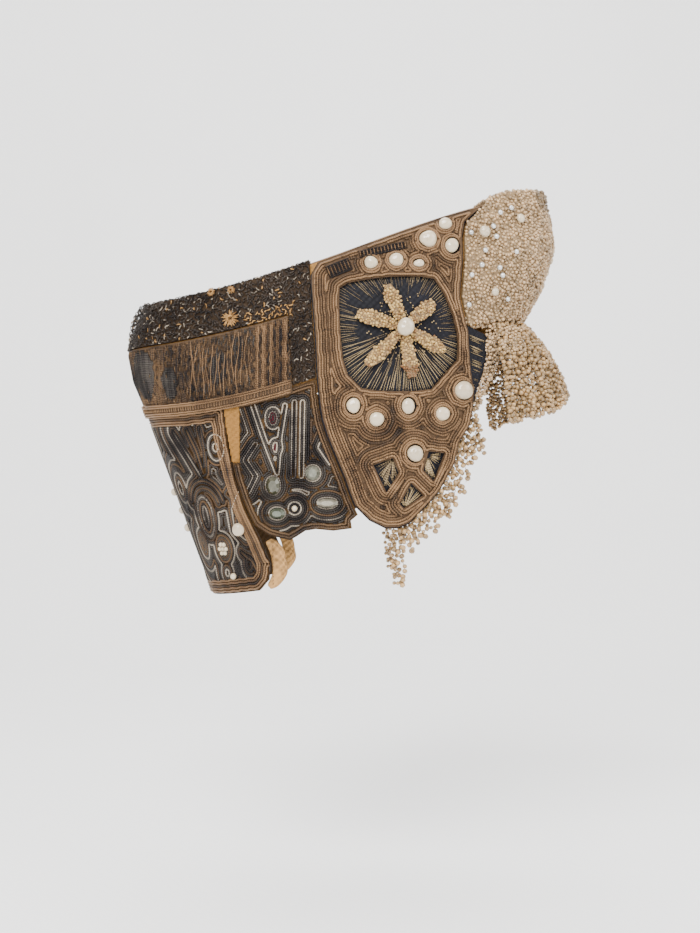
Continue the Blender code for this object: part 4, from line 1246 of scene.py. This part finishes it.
class KOKOSHNIK_OT_band(Finishing, bpy.types.Operator):
    """Weave the brocade band and lay the braid below it"""

    bl_idname = "kokoshnik.band"
    bl_label = "Brocade band and braid"

    # Dark flowers of the brocade: place round the band, share down it, half width and half height.
    FLOWERS = (
        (0.000, 0.45, 0.013, 0.018),
        (0.030, 0.62, 0.007, 0.011),
        (0.052, 0.45, 0.014, 0.019),
        (0.080, 0.62, 0.007, 0.012),
        (0.118, 0.52, 0.006, 0.011),
        (0.132, 0.30, 0.004, 0.007),
    )
    LATTICE = (0.098, 0.142)
    STRIPS = (0.142, 0.165)
    # The distance between upright threads, and the height that the flowers' halves are given for.
    PITCH, TALL = 0.00105, 0.045

    def execute(self, context):
        cords = settings("kokoshnik_cords")
        base = cloth_finish(
            "brocade_ground", dim(cords.gold, 0.30), cords.black, 1100.0, 0.55, 0.35, 0.0005, 60.0
        )
        carried("brocade_band", base)
        dice = random.Random(23)
        skin = BackSkin("brocade_band")
        low_a, high_a, _, _ = skin.extent()
        black, brown, gold = Heap(), Heap(), Heap()
        for a in np.arange(low_a + 0.001, high_a - 0.0008, self.PITCH):
            low, high = self.column(skin, a)
            if high - low < 0.004:
                continue
            run, heap = [], None
            for b in np.linspace(high - 0.0005, low + 0.0005, 24):
                share = (high - b) / (high - low)
                wanted = self.thread(abs(a), share, black, brown, gold, dice)
                if wanted is not heap and heap is not None:
                    self.weave(heap, skin, run, dice)
                    run = run[-1:]
                heap = wanted
                run.append((a + 0.0003 * math.sin(b * 900 + a * 300), b))
            self.weave(heap, skin, run, dice)
        for a0 in np.arange(self.LATTICE[0], self.LATTICE[1], 0.0030):
            for hand in (1, -1):
                low, high = self.column(skin, hand * a0)
                sway, phase = dice.uniform(0.0003, 0.0013), dice.uniform(0, 6)
                line = []
                for t in np.linspace(dice.uniform(0, 0.3), dice.uniform(0.7, 1.0), 14):
                    line.append((hand * (a0 + sway * math.sin(t * 8 + phase)), high - (high - low) * t))
                lay(gold, skin, line, cords.radius * 0.42, dice.random() * 1.2, 0.0003)
        black.build("band_black_threads", black_cord())
        brown.build("band_brown_threads", brown_cord())
        gold.build("band_gold_threads", gold_cord())
        self.braid()
        return {"FINISHED"}

    def column(self, skin, a):
        """The lowest and highest place of the band at a distance round it."""
        heights = self.covered(skin, a, 0.001)
        return (heights[0], heights[-1]) if heights else (0.0, 0.0)

    def covered(self, skin, a, step):
        return [b for b in np.arange(skin.low.z, skin.high.z, step) if skin.at(a, b)]

    def thread(self, around, share, black, brown, gold, dice):
        """Which colour the band shows at a place."""
        for place, down, wide, tall in self.FLOWERS:
            across = (around - place) / wide
            along = (share - down) * self.TALL / tall
            if across * across + along * along < dice.uniform(0.90, 1.06):
                return gold if dice.random() < 0.04 else black
        if self.STRIPS[0] < around < self.STRIPS[1] and math.sin(around * 1400) > -0.2:
            return gold
        if self.LATTICE[0] < around < self.LATTICE[1] and dice.random() < 0.35:
            return black
        chance = dice.random()
        return brown if chance < 0.74 else gold if chance < 0.90 else black

    def weave(self, heap, skin, run, dice):
        """One stretch of the band's thread."""
        lay(heap, skin, run, settings("kokoshnik_cords").radius * 0.62, dice.random())

    def braid(self):
        """The braid over the seam below the band."""
        cords = settings("kokoshnik_cords")
        base = cloth_finish("braid_ground", dim(cords.gold, 0.25), cords.black, 1500.0, 0.6, 0.2, 0.0003)
        carried("galloon", base)
        dice = random.Random(31)
        skin = BackSkin("galloon")
        heap = Heap()
        low_a, high_a, _, _ = skin.extent()
        edges = []
        for a in np.arange(low_a + 0.0005, high_a, 0.0011):
            heights = self.covered(skin, a, 0.0005)
            if heights:
                edges.append((a, heights[0], heights[-1]))
        for share in (0.04, 0.22, 0.78, 0.96):
            line = [(a, low + (high - low) * share) for a, low, high in edges]
            lay(heap, skin, line, cords.radius * 0.75, dice.random() * 0.4)
        for a, low, high in edges[::2]:
            line = [(a, low + (high - low) * share) for share in (0.26, 0.5, 0.74)]
            lay(heap, skin, line, 0.00050, dice.random() * 0.6)
        heap.build("braid_cords", gold_cord())


class KOKOSHNIK_OT_lace(Finishing, bpy.types.Operator):
    """Work the dark metal lace with its silver flecks and gold tufts"""

    bl_idname = "kokoshnik.lace"
    bl_label = "Lace"

    # Tufts of gold thread: place round the cap from the middle of the back, z, and radius.
    TUFTS = (
        (0.128, -0.0730, 0.0075),
        (0.176, -0.0600, 0.0070),
        (0.176, -0.0320, 0.0040),
        (0.173, -0.0400, 0.0035),
        (0.139, -0.0410, 0.0035),
    )

    # The rear top corner, where the lace is thickest, as x and z.
    CORNER = (-0.1930, -0.0560)
    # The distance between loops of the lace, and the threads in a tuft.
    PITCH, THREADS = 0.00195, 70

    def execute(self, context):
        cords = settings("kokoshnik_cords")
        light, dark = dim(cords.gold, 0.11), dim(cords.black, 0.6)
        base = cloth_finish("lace_ground", light, dark, 900.0, 0.55, 0.4, 0.0008)
        carried("crown_lace", base)
        dice = random.Random(29)
        tree = Skin("crown_lace")
        dark, silver, gilt = Heap(), Heap(), Heap()
        for place, normal in scatter(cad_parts["crown_lace"].data, self.PITCH, dice, outward_of_cap):
            heap = self.colour(place, dice, dark, silver, gilt)
            self.loop(heap, tree, place, normal, dice)
        round_skin = BackSkin("crown_lace")
        for around, z, radius in self.TUFTS:
            for hand in (1, -1):
                found = round_skin.at(hand * around, z)
                if found:
                    self.tuft(gilt, found, radius, dice)
        dark.build("lace_threads", black_lace())
        silver.build("lace_flecks", silver_cord())
        gilt.build("lace_gold", gold_tuft())
        return {"FINISHED"}

    def colour(self, place, dice, dark, silver, gilt):
        """Gold threads gather along the lace's lower border, silver flecks lie anywhere."""
        border = -0.110 < place.x < -0.075 and abs(place.z + 0.068 - (place.x + 0.13) * 0.25) < 0.006
        if dice.random() < (0.75 if border else 0.03):
            return gilt
        return silver if dice.random() < 0.13 else dark

    def loop(self, heap, tree, place, normal, dice):
        """A short bowed thread of the lace; it stands out more near the rear corner."""
        across = normal.cross(Vector((0.0, 0.0, 1.0)))
        if across.length < 0.2:
            across = Vector((0.0, 1.0, 0.0))
        across.normalize()
        turn = dice.uniform(0, math.pi)
        along = across * math.cos(turn) + normal.cross(across).normalized() * math.sin(turn)
        other = along.cross(normal)
        length, bow = dice.uniform(0.0018, 0.0042), dice.uniform(-0.0012, 0.0012)
        corner = max(0.0, 1.0 - math.dist((place.x, place.z), self.CORNER) / 0.020)
        fluff = corner * dice.uniform(0.0005, 0.0045)
        line = []
        for t in (-1.0, -0.5, 0.0, 0.5, 1.0):
            p = place + along * (length / 2 * t) + other * (bow * (1 - t * t))
            found = tree.tree.find_nearest(p)
            line.append((found[0] + normal * (fluff + 0.0002 + 0.0008 * (1 - t * t)), normal))
        heap.cord(line, dice.uniform(0.00032, 0.00052), dice.random(), flat=0.8)

    def tuft(self, heap, found, radius, dice):
        """Gold threads that fan out from one place."""
        place, normal = found
        across = normal.cross(Vector((0.0, 0.0, 1.0))).normalized()
        upward = across.cross(normal)
        for _ in range(self.THREADS):
            turn, out = dice.uniform(0, 2 * math.pi), radius * dice.uniform(0.45, 1.0)
            way = across * math.cos(turn) + upward * math.sin(turn)
            line = []
            for t in (0.15, 0.5, 0.8, 1.0):
                rise = 0.0004 + 0.0016 * math.sin(math.pi * t) * dice.uniform(0.7, 1.2)
                line.append((place + way * (out * t) + normal * rise, normal))
            heap.cord(line, 0.00034, dice.random())


class KOKOSHNIK_OT_lining(Finishing, bpy.types.Operator):
    """Pad the lining that rolls out at the flap's front corners"""

    bl_idname = "kokoshnik.lining"
    bl_label = "Lining"

    STITCH = 0.0024

    def execute(self, context):
        cloth = settings("kokoshnik_cloth")
        dark = dim(cloth.lining, 0.22)
        finish = cloth_finish("lining_cloth", cloth.lining, dark, 1300.0, 0.85, 0.0, 0.0012, 75.0)
        for side in SIDES:
            made = smooth_copy(f"flap_lining_{side}", f"lining_roll_{side}", 3)
            ripple = random.Random(47)
            waves = [(ripple.uniform(300, 900), ripple.uniform(0, 6)) for _ in range(5)]
            for v, normal in zip(made.data.vertices, [n.vector.copy() for n in made.data.vertex_normals]):
                push = sum(math.sin(k * (v.co.z + 0.5 * v.co.x) + p) for k, p in waves) / 5
                v.co += normal * (0.0009 * push + 0.0003)
            made.data.materials.append(finish)
            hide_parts(f"flap_lining_{side}")
            self.stitches(made, side)
        return {"FINISHED"}

    def stitches(self, roll, side):
        """The row of stitches that holds the roll."""
        mesh = roll.data
        tree = BVHTree.FromPolygons([v.co for v in mesh.vertices], [p.vertices for p in mesh.polygons])
        towards = Vector((0.0, 1.0 if side == "right" else -1.0, 0.0))
        low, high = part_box(f"flap_lining_{side}")
        heap = Heap()
        for z in np.arange(low[2] + 0.004, high[2] - 0.004, self.STITCH):
            x = low[0] + (high[0] - low[0]) * 0.32
            line = []
            for t in (-1.0, 0.0, 1.0):
                start = Vector((x + 0.0003 * t, 0.0, z + 0.0008 * t)) - towards * BESIDE
                place = tree.ray_cast(start, towards)[0]
                if place:
                    line.append((place - towards * 0.0001, -towards))
            heap.cord(line, 0.00028, 0.2)
        heap.build(f"lining_stitches_{side}", brown_cord())


def outward_of_cap(place, normal):
    """Whether a face looks away from the inside of the cap."""
    away = Vector((place.x + 0.05, place.y, 0.0))
    return normal.dot(away.normalized()) > 0.25 or normal.z > 0.6


def black_lace():
    c = settings("kokoshnik_cords")
    return cord_finish("black_lace", (0.070, 0.056, 0.046), c.black, 0.42, 0.5, 0.40)


def black_cord():
    c = settings("kokoshnik_cords")
    return cord_finish("black_cord", (0.070, 0.060, 0.052), c.black, 0.46, 0.5, 0.40)


def silver_cord():
    c = settings("kokoshnik_cords")
    return cord_finish("silver_cord", (0.38, 0.32, 0.25), dim(c.black, 3.0), 0.22, 0.6, 0.34)


def gold_tuft():
    return cord_finish("gold_tuft", (0.48, 0.27, 0.10), (0.16, 0.075, 0.025), 0.15, 0.3, 0.45)


def glass_finish(name, colour):
    """Cut glass with a little of the foil behind it."""
    def build(f):
        share = (f.noise(220.0, 2.0) * 1.4 - 0.2).clamped()
        f.feed("Base Color", f.mix(share, colour, dim(colour, 0.35)))
        f.feed("Roughness", 0.06)
        f.feed("Coat Weight", 1.0)
        f.feed("Metallic", (share * 0.5 + 0.15).clamped())

    return pick(name, build)


def river_pearl():
    p = settings("kokoshnik_pearls")
    return pearl_finish("river_pearl", p.white, dim(p.white, 0.62), 0.22, 0.7)


class KOKOSHNIK_OT_pearls(Finishing, bpy.types.Operator):
    """Round the large river pearls"""

    bl_idname = "kokoshnik.pearls"
    bl_label = "River pearls"

    def execute(self, context):
        dice = random.Random(37)
        finish = river_pearl()
        names = [f"lobe_pearl_{k:02d}" for k in range(1, 13)] + ["flower_pearl", "flap_pearl"]
        for name in names:
            waves = [dice.uniform(-0.10, 0.10) for _ in range(6)]
            for side in SIDES:
                self.pearl(name, side, waves, finish, dice.random() * 0.5)
        return {"FINISHED"}

    def pearl(self, name, side, waves, finish, tone):
        """A slightly lumpy pearl in place of its solid."""
        made = smooth_copy(f"{name}_{side}", f"river_{name}_{side}", 2)
        low, high = (Vector(corner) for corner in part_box(f"{name}_{side}"))
        middle = (low + high) / 2
        mesh = made.data
        reach = max((v.co - middle).length for v in mesh.vertices)
        grow = 1.10 * (high - low).length / math.sqrt(3) / 2 / reach * 1.08
        for v in mesh.vertices:
            d = v.co - middle
            turn = math.atan2(d.z, d.x)
            bulge = waves[0] * math.cos(turn + waves[1] * 9) + waves[2] * math.cos(2 * turn + waves[3] * 9)
            bulge += waves[4] * math.cos(3 * turn + waves[5] * 20) * 0.6
            v.co = middle + d * (grow + 0.95 * bulge)
        values = mesh.attributes.new("tone", "FLOAT", "POINT")
        values.data.foreach_set("value", [tone] * len(mesh.vertices))
        mesh.materials.append(finish)
        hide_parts(f"{name}_{side}")


class KOKOSHNIK_OT_horn(Finishing, bpy.types.Operator):
    """Sew the horn over with seed pearls"""

    bl_idname = "kokoshnik.horn"
    bl_label = "Horn"

    # The worn patch at the horn's top front edge, as x and z.
    BARE = (0.1010, 0.0300)
    BARE_REACH = 0.0075
    # Where the frill's root meets the horn's foot.
    ROOT_X = (0.0500, 0.0860)
    ROOT_Z = (-0.0820, -0.0620)
    GAP = 0.0090
    # The pearls' distance in radii, and how far back the brow is sewn over, as x.
    PACKED, BROW = 1.72, 0.040
    # Down the middle of the front, as z; large pearls at the sides, as x, z and radius; glints, as x and z.
    FRONT = (-0.0015, -0.0085, -0.0175, -0.0270)
    LARGE = ((0.0540, -0.0005, 0.0042), (0.0800, 0.0110, 0.0033), (0.0610, -0.0400, 0.0031))
    GLINTS = (
        (0.046, -0.001), (0.061, 0.004), (0.063, -0.003), (0.055, -0.013), (0.053, -0.023),
        (0.065, -0.024), (0.067, -0.029), (0.046, -0.030), (0.044, -0.050), (0.074, 0.018),
        (0.066, 0.014), (0.071, -0.044), (0.077, -0.012),
    )

    def execute(self, context):
        pearls = settings("kokoshnik_pearls")
        base = cloth_finish("horn_ground", dim(pearls.seed, 0.50), dim(pearls.seed, 0.20), 1200.0, 0.7)
        carried("horn", base)
        dice = random.Random(41)
        heap = Heap()
        radius = pearls.seed_radius
        pitch = radius * self.PACKED
        spots = scatter(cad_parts["horn"].data, pitch, dice, outward_of_cap, 10)
        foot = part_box("horn")[0][2]
        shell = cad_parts["crown_shell"].data

        def below(place, normal):
            if place.x <= self.BROW or place.z >= foot + 0.006 or normal.x <= -0.2:
                return False
            return outward_of_cap(place, normal)

        spots += scatter(shell, pitch, dice, below, 10)
        spots += self.root(dice)
        for place, normal in spots:
            bare = (place.x - self.BARE[0]) ** 2 + (place.z - self.BARE[1]) ** 2 < self.BARE_REACH**2
            if bare and dice.random() < 0.5:
                continue
            tone = 1.5 if bare else dice.random() ** 1.4
            jut = dice.uniform(-0.40, 0.85) * radius
            heap.bead(place + normal * jut, normal, radius * dice.uniform(0.78, 1.18), tone)
        heap.build("horn_seed_pearls", seed_pearl())
        self.large(dice)
        return {"FINISHED"}

    def root(self, dice):
        """Places between the horn's foot and the frill, on both sides."""
        skin = Skin("crown_shell", "horn", "frill", "pearl_band_right")
        spots = []
        for _ in range(900):
            x, z = dice.uniform(*self.ROOT_X), dice.uniform(*self.ROOT_Z)
            place, normal = self.near(skin, x, z)
            if place is None:
                over, under = (self.near(skin, x, z + rise)[0] for rise in (self.GAP, -self.GAP))
                if over and under:
                    place, normal = (over + under) / 2, Vector((0.0, -1.0, 0.0))
                    place.x, place.z = x, z
            if place:
                if all((place - other).length > 0.0019 for other, _ in spots):
                    spots.append((place.copy(), normal.copy()))
        turned = [(Vector((p.x, -p.y, p.z)), Vector((n.x, -n.y, n.z))) for p, n in spots]
        return spots + turned

    def near(self, skin, x, z):
        """The place on the wearer's right side, or nothing where the side is open."""
        found = skin.from_side(x, z)
        return found if found and found[0].y < -0.02 else (None, None)

    def large(self, dice):
        """Larger pearls, mother-of-pearl and cut glints among the seed pearls."""
        skin = Skin("horn")
        pearls, glints = Heap(), Heap()
        for z in self.FRONT:
            found = skin.hit(Vector((BESIDE, 0.0, z)), Vector((-1, 0, 0)))
            if found:
                pearls.bead(found[0] + found[1] * 0.0008, found[1], 0.0034, 0.35, 0.8, FINE_BEAD)
        side = SideSkin("horn")
        for hand in (-1, 1):
            for x, z, size in self.LARGE:
                self.put(side, pearls, x, z, size, hand, dice.random() * 0.5, 0.6)
            for x, z in self.GLINTS:
                self.put(side, glints, x, z, 0.0019, hand, dice.random(), 0.7)
        pearls.build("horn_large_pearls", river_pearl())
        glass = glass_finish("glint_glass", (0.85, 0.85, 0.82))
        glints.build("horn_glints", glass, smooth=False)

    def put(self, skin, heap, x, z, size, hand, tone, squash):
        """A large bead on the horn's right side, or on its left side with hand 1."""
        found = skin.at(x, z)
        if found:
            place, normal = found
            place, normal = place.copy(), normal.copy()
            place.y *= -hand
            normal.y *= -hand
            heap.bead(place + normal * (size * 0.8 + 0.0012), normal, size, tone, squash, FINE_BEAD)


def seed_pearl():
    p = settings("kokoshnik_pearls")
    return pearl_finish("horn_pearl", p.seed, dim(p.seed, 0.30), 0.40, 0.14)


def net_pearl():
    p = settings("kokoshnik_pearls")
    return pearl_finish("net_pearl", p.net, dim(p.net, 0.34), 0.34, 0.22)


class KOKOSHNIK_OT_nets(Finishing, bpy.types.Operator):
    """String the frill, the fringes, the bands and the flowers"""

    bl_idname = "kokoshnik.nets"
    bl_label = "Nets and flowers"

    # How far a thread spans, and how much of the lowest petal has turned brown.
    REACH = 0.0062
    TIP = 0.0080
    # The net's distance between pearls, in radii.
    PACKED = 1.62

    def execute(self, context):
        pearls = settings("kokoshnik_pearls")
        dice = random.Random(43)
        frill = Heap()
        low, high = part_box("frill")
        sewn = scatter(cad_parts["frill"].data, pearls.net_radius * self.PACKED, dice)
        for place, normal in sewn:
            share = (high[2] - place.z) / (high[2] - low[2])
            if dice.random() > 0.80 + 0.6 * share:
                continue
            size = pearls.net_radius * dice.uniform(0.78, 1.15)
            frill.bead(place + normal * dice.uniform(-0.0006, 0.0010), normal, size, dice.random(), 1.0)
        self.strung(frill, [place for place, _ in sewn])
        made = frill.build("frill_net", net_pearl())
        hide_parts("frill")
        self.beaded("fringe", "fringe_strings", 0.0034, 0.0019, net_pearl(), dice, True)
        band_size = pearls.seed_radius * 1.1
        self.beaded("pearl_band", "band_pearls", band_size * 1.6, band_size, seed_pearl(), dice, True)
        self.beaded("flower", "flower_seeds", 0.0016, 0.00110, flower_pearl(), dice, False)
        base = cloth_finish("flower_ground", dim(pearls.seed, 0.4), dim(pearls.seed, 0.12), 1200.0, 0.7)
        for side in SIDES:
            carried(f"flower_{side}", base)
        return {"FINISHED"}

    def strung(self, heap, places):
        """A thread from each bead up to the nearest one above it."""
        spots = np.array(places)
        for spot in spots:
            away = np.linalg.norm(spots - spot, axis=1)
            away[spots[:, 2] <= spot[2] + 0.0004] = 1.0
            other = int(away.argmin())
            if away[other] < self.REACH:
                out = Vector((0.0, -1.0, 0.0))
                heap.cord([(Vector(spot), out), (Vector(spots[other]), out)], 0.00050, 0.6)

    def beaded(self, node, name, pitch, radius, finish, dice, replaced):
        """Beads all over a node of the right side, and their mirror image on the left."""
        heap = Heap()
        sewn = scatter(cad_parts[f"{node}_right"].data, pitch, dice)
        if replaced:
            self.strung(heap, [place for place, _ in sewn])
        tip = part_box(f"{node}_right")[0][2] + self.TIP
        for place, normal in sewn:
            if not replaced and normal.y > -0.1:
                continue
            if radius > 0.0017 and dice.random() < 0.12:
                continue
            size = radius * dice.uniform(0.72, 1.15)
            tone = 2.0 if not replaced and place.z < tip else dice.random()
            heap.bead(place + normal * dice.uniform(-0.4, 0.6) * radius, normal, size, tone)
        for side in SIDES:
            made = heap.build(f"{name}_{side}", finish, mirror=side == "left")
            if replaced:
                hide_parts(f"{node}_{side}")


def flower_pearl():
    return pearl_finish("flower_seed", (0.56, 0.37, 0.13), (0.17, 0.075, 0.022), 0.36, 0.25)


class KOKOSHNIK_OT_stage(Finishing, bpy.types.Operator):
    """Set the pale floor, the soft light and the camera"""

    bl_idname = "kokoshnik.stage"
    bl_label = "Stage"

    # The floor's height, how far back it bends up into the wall, and the bend's radius.
    FLOOR, BEND, ROUND = -0.47, 1.0, 0.8
    # Lamps: name, place, size and power. They are aimed at the middle of the cap.
    LAMPS = (
        ("key", (-0.5, -1.7, 1.3), 1.2, 92.0),
        ("front", (1.6, -0.9, 0.7), 1.4, 26.0),
        ("above", (-0.2, 0.4, 2.3), 1.4, 40.0),
    )
    CAP = (-0.03, 0.0, -0.10)
    CAMERA = (-0.037, -1.0, -0.161)
    LENS, SENSOR = 52.1, 36.0

    def execute(self, context):
        cloth = settings("kokoshnik_cloth")
        scene = context.scene
        pale = cloth_finish("pale_floor", cloth.floor, dim(cloth.floor, 0.96), 700.0, 0.9, 0.0, 0.0001, 3.0)
        profile = [(-3.0, self.FLOOR), (self.BEND, self.FLOOR)]
        for t in np.linspace(0.1, 1.5, 10):
            y = self.BEND + self.ROUND * math.sin(t)
            profile.append((y, self.FLOOR + self.ROUND * (1 - math.cos(t))))
        profile.append((1.82, 4.0))
        points = [(x, y, z) for x in (-5.0, 5.0) for y, z in profile]
        count = len(profile)
        faces = [(k, k + count, k + count + 1, k + 1) for k in range(count - 1)]
        mesh = bpy.data.meshes.new("floor")
        mesh.from_pydata(points, [], faces)
        mesh.shade_smooth()
        mesh.materials.append(pale)
        floor = shown("floor", mesh)
        for name, place, size, power in self.LAMPS:
            light = bpy.data.lights.new(name, "AREA")
            light.size = size
            light.energy = power
            lamp = shown(name, light)
            lamp.location = place
            aim = Vector(self.CAP) - Vector(place)
            lamp.rotation_euler = aim.to_track_quat("-Z", "Y").to_euler()
        world = bpy.data.worlds.new("room")
        world.use_nodes = True
        sky = world.node_tree.nodes["Background"].inputs
        sky["Color"].default_value = (1.0, 0.985, 0.96, 1.0)
        sky["Strength"].default_value = 1.15
        scene.world = world
        lens = bpy.data.cameras.new("camera")
        lens.lens = self.LENS
        lens.sensor_width = self.SENSOR
        camera = shown("camera", lens)
        camera.location = self.CAMERA
        camera.rotation_euler = (math.pi / 2, 0.0, 0.0)
        scene.camera = camera
        return {"FINISHED"}


class KOKOSHNIK_PT_panel(bpy.types.Panel):
    """Lists the finishing steps"""

    bl_idname = "KOKOSHNIK_PT_panel"
    bl_label = "Kokoshnik"
    bl_space_type = "VIEW_3D"
    bl_region_type = "UI"
    bl_category = "Kokoshnik"

    def draw(self, context):
        for operator in OPERATORS:
            self.layout.operator(operator.bl_idname)
        for group in SETTINGS:
            held = settings(group)
            for name in held.__annotations__:
                self.layout.prop(held, name)


OPERATORS = (
    KOKOSHNIK_OT_stage,
    KOKOSHNIK_OT_cap,
    KOKOSHNIK_OT_lobes,
    KOKOSHNIK_OT_flap,
    KOKOSHNIK_OT_panels,
    KOKOSHNIK_OT_band,
    KOKOSHNIK_OT_lace,
    KOKOSHNIK_OT_lining,
    KOKOSHNIK_OT_pearls,
    KOKOSHNIK_OT_horn,
    KOKOSHNIK_OT_nets,
)
SETTINGS = {
    "kokoshnik_cords": CordSettings,
    "kokoshnik_pearls": PearlSettings,
    "kokoshnik_cloth": ClothSettings,
}


def register():
    for name, group in SETTINGS.items():
        bpy.utils.register_class(group)
        setattr(bpy.types.Scene, name, bpy.props.PointerProperty(type=group))
    for operator in OPERATORS:
        bpy.utils.register_class(operator)
    bpy.utils.register_class(KOKOSHNIK_PT_panel)


def unregister():
    bpy.utils.unregister_class(KOKOSHNIK_PT_panel)
    for operator in reversed(OPERATORS):
        bpy.utils.unregister_class(operator)
    for name, group in reversed(SETTINGS.items()):
        delattr(bpy.types.Scene, name)
        bpy.utils.unregister_class(group)


def main():
    register()
    for operator in OPERATORS:
        group, name = operator.bl_idname.split(".")
        getattr(getattr(bpy.ops, group), name)()


if __name__ == "__main__":
    main()
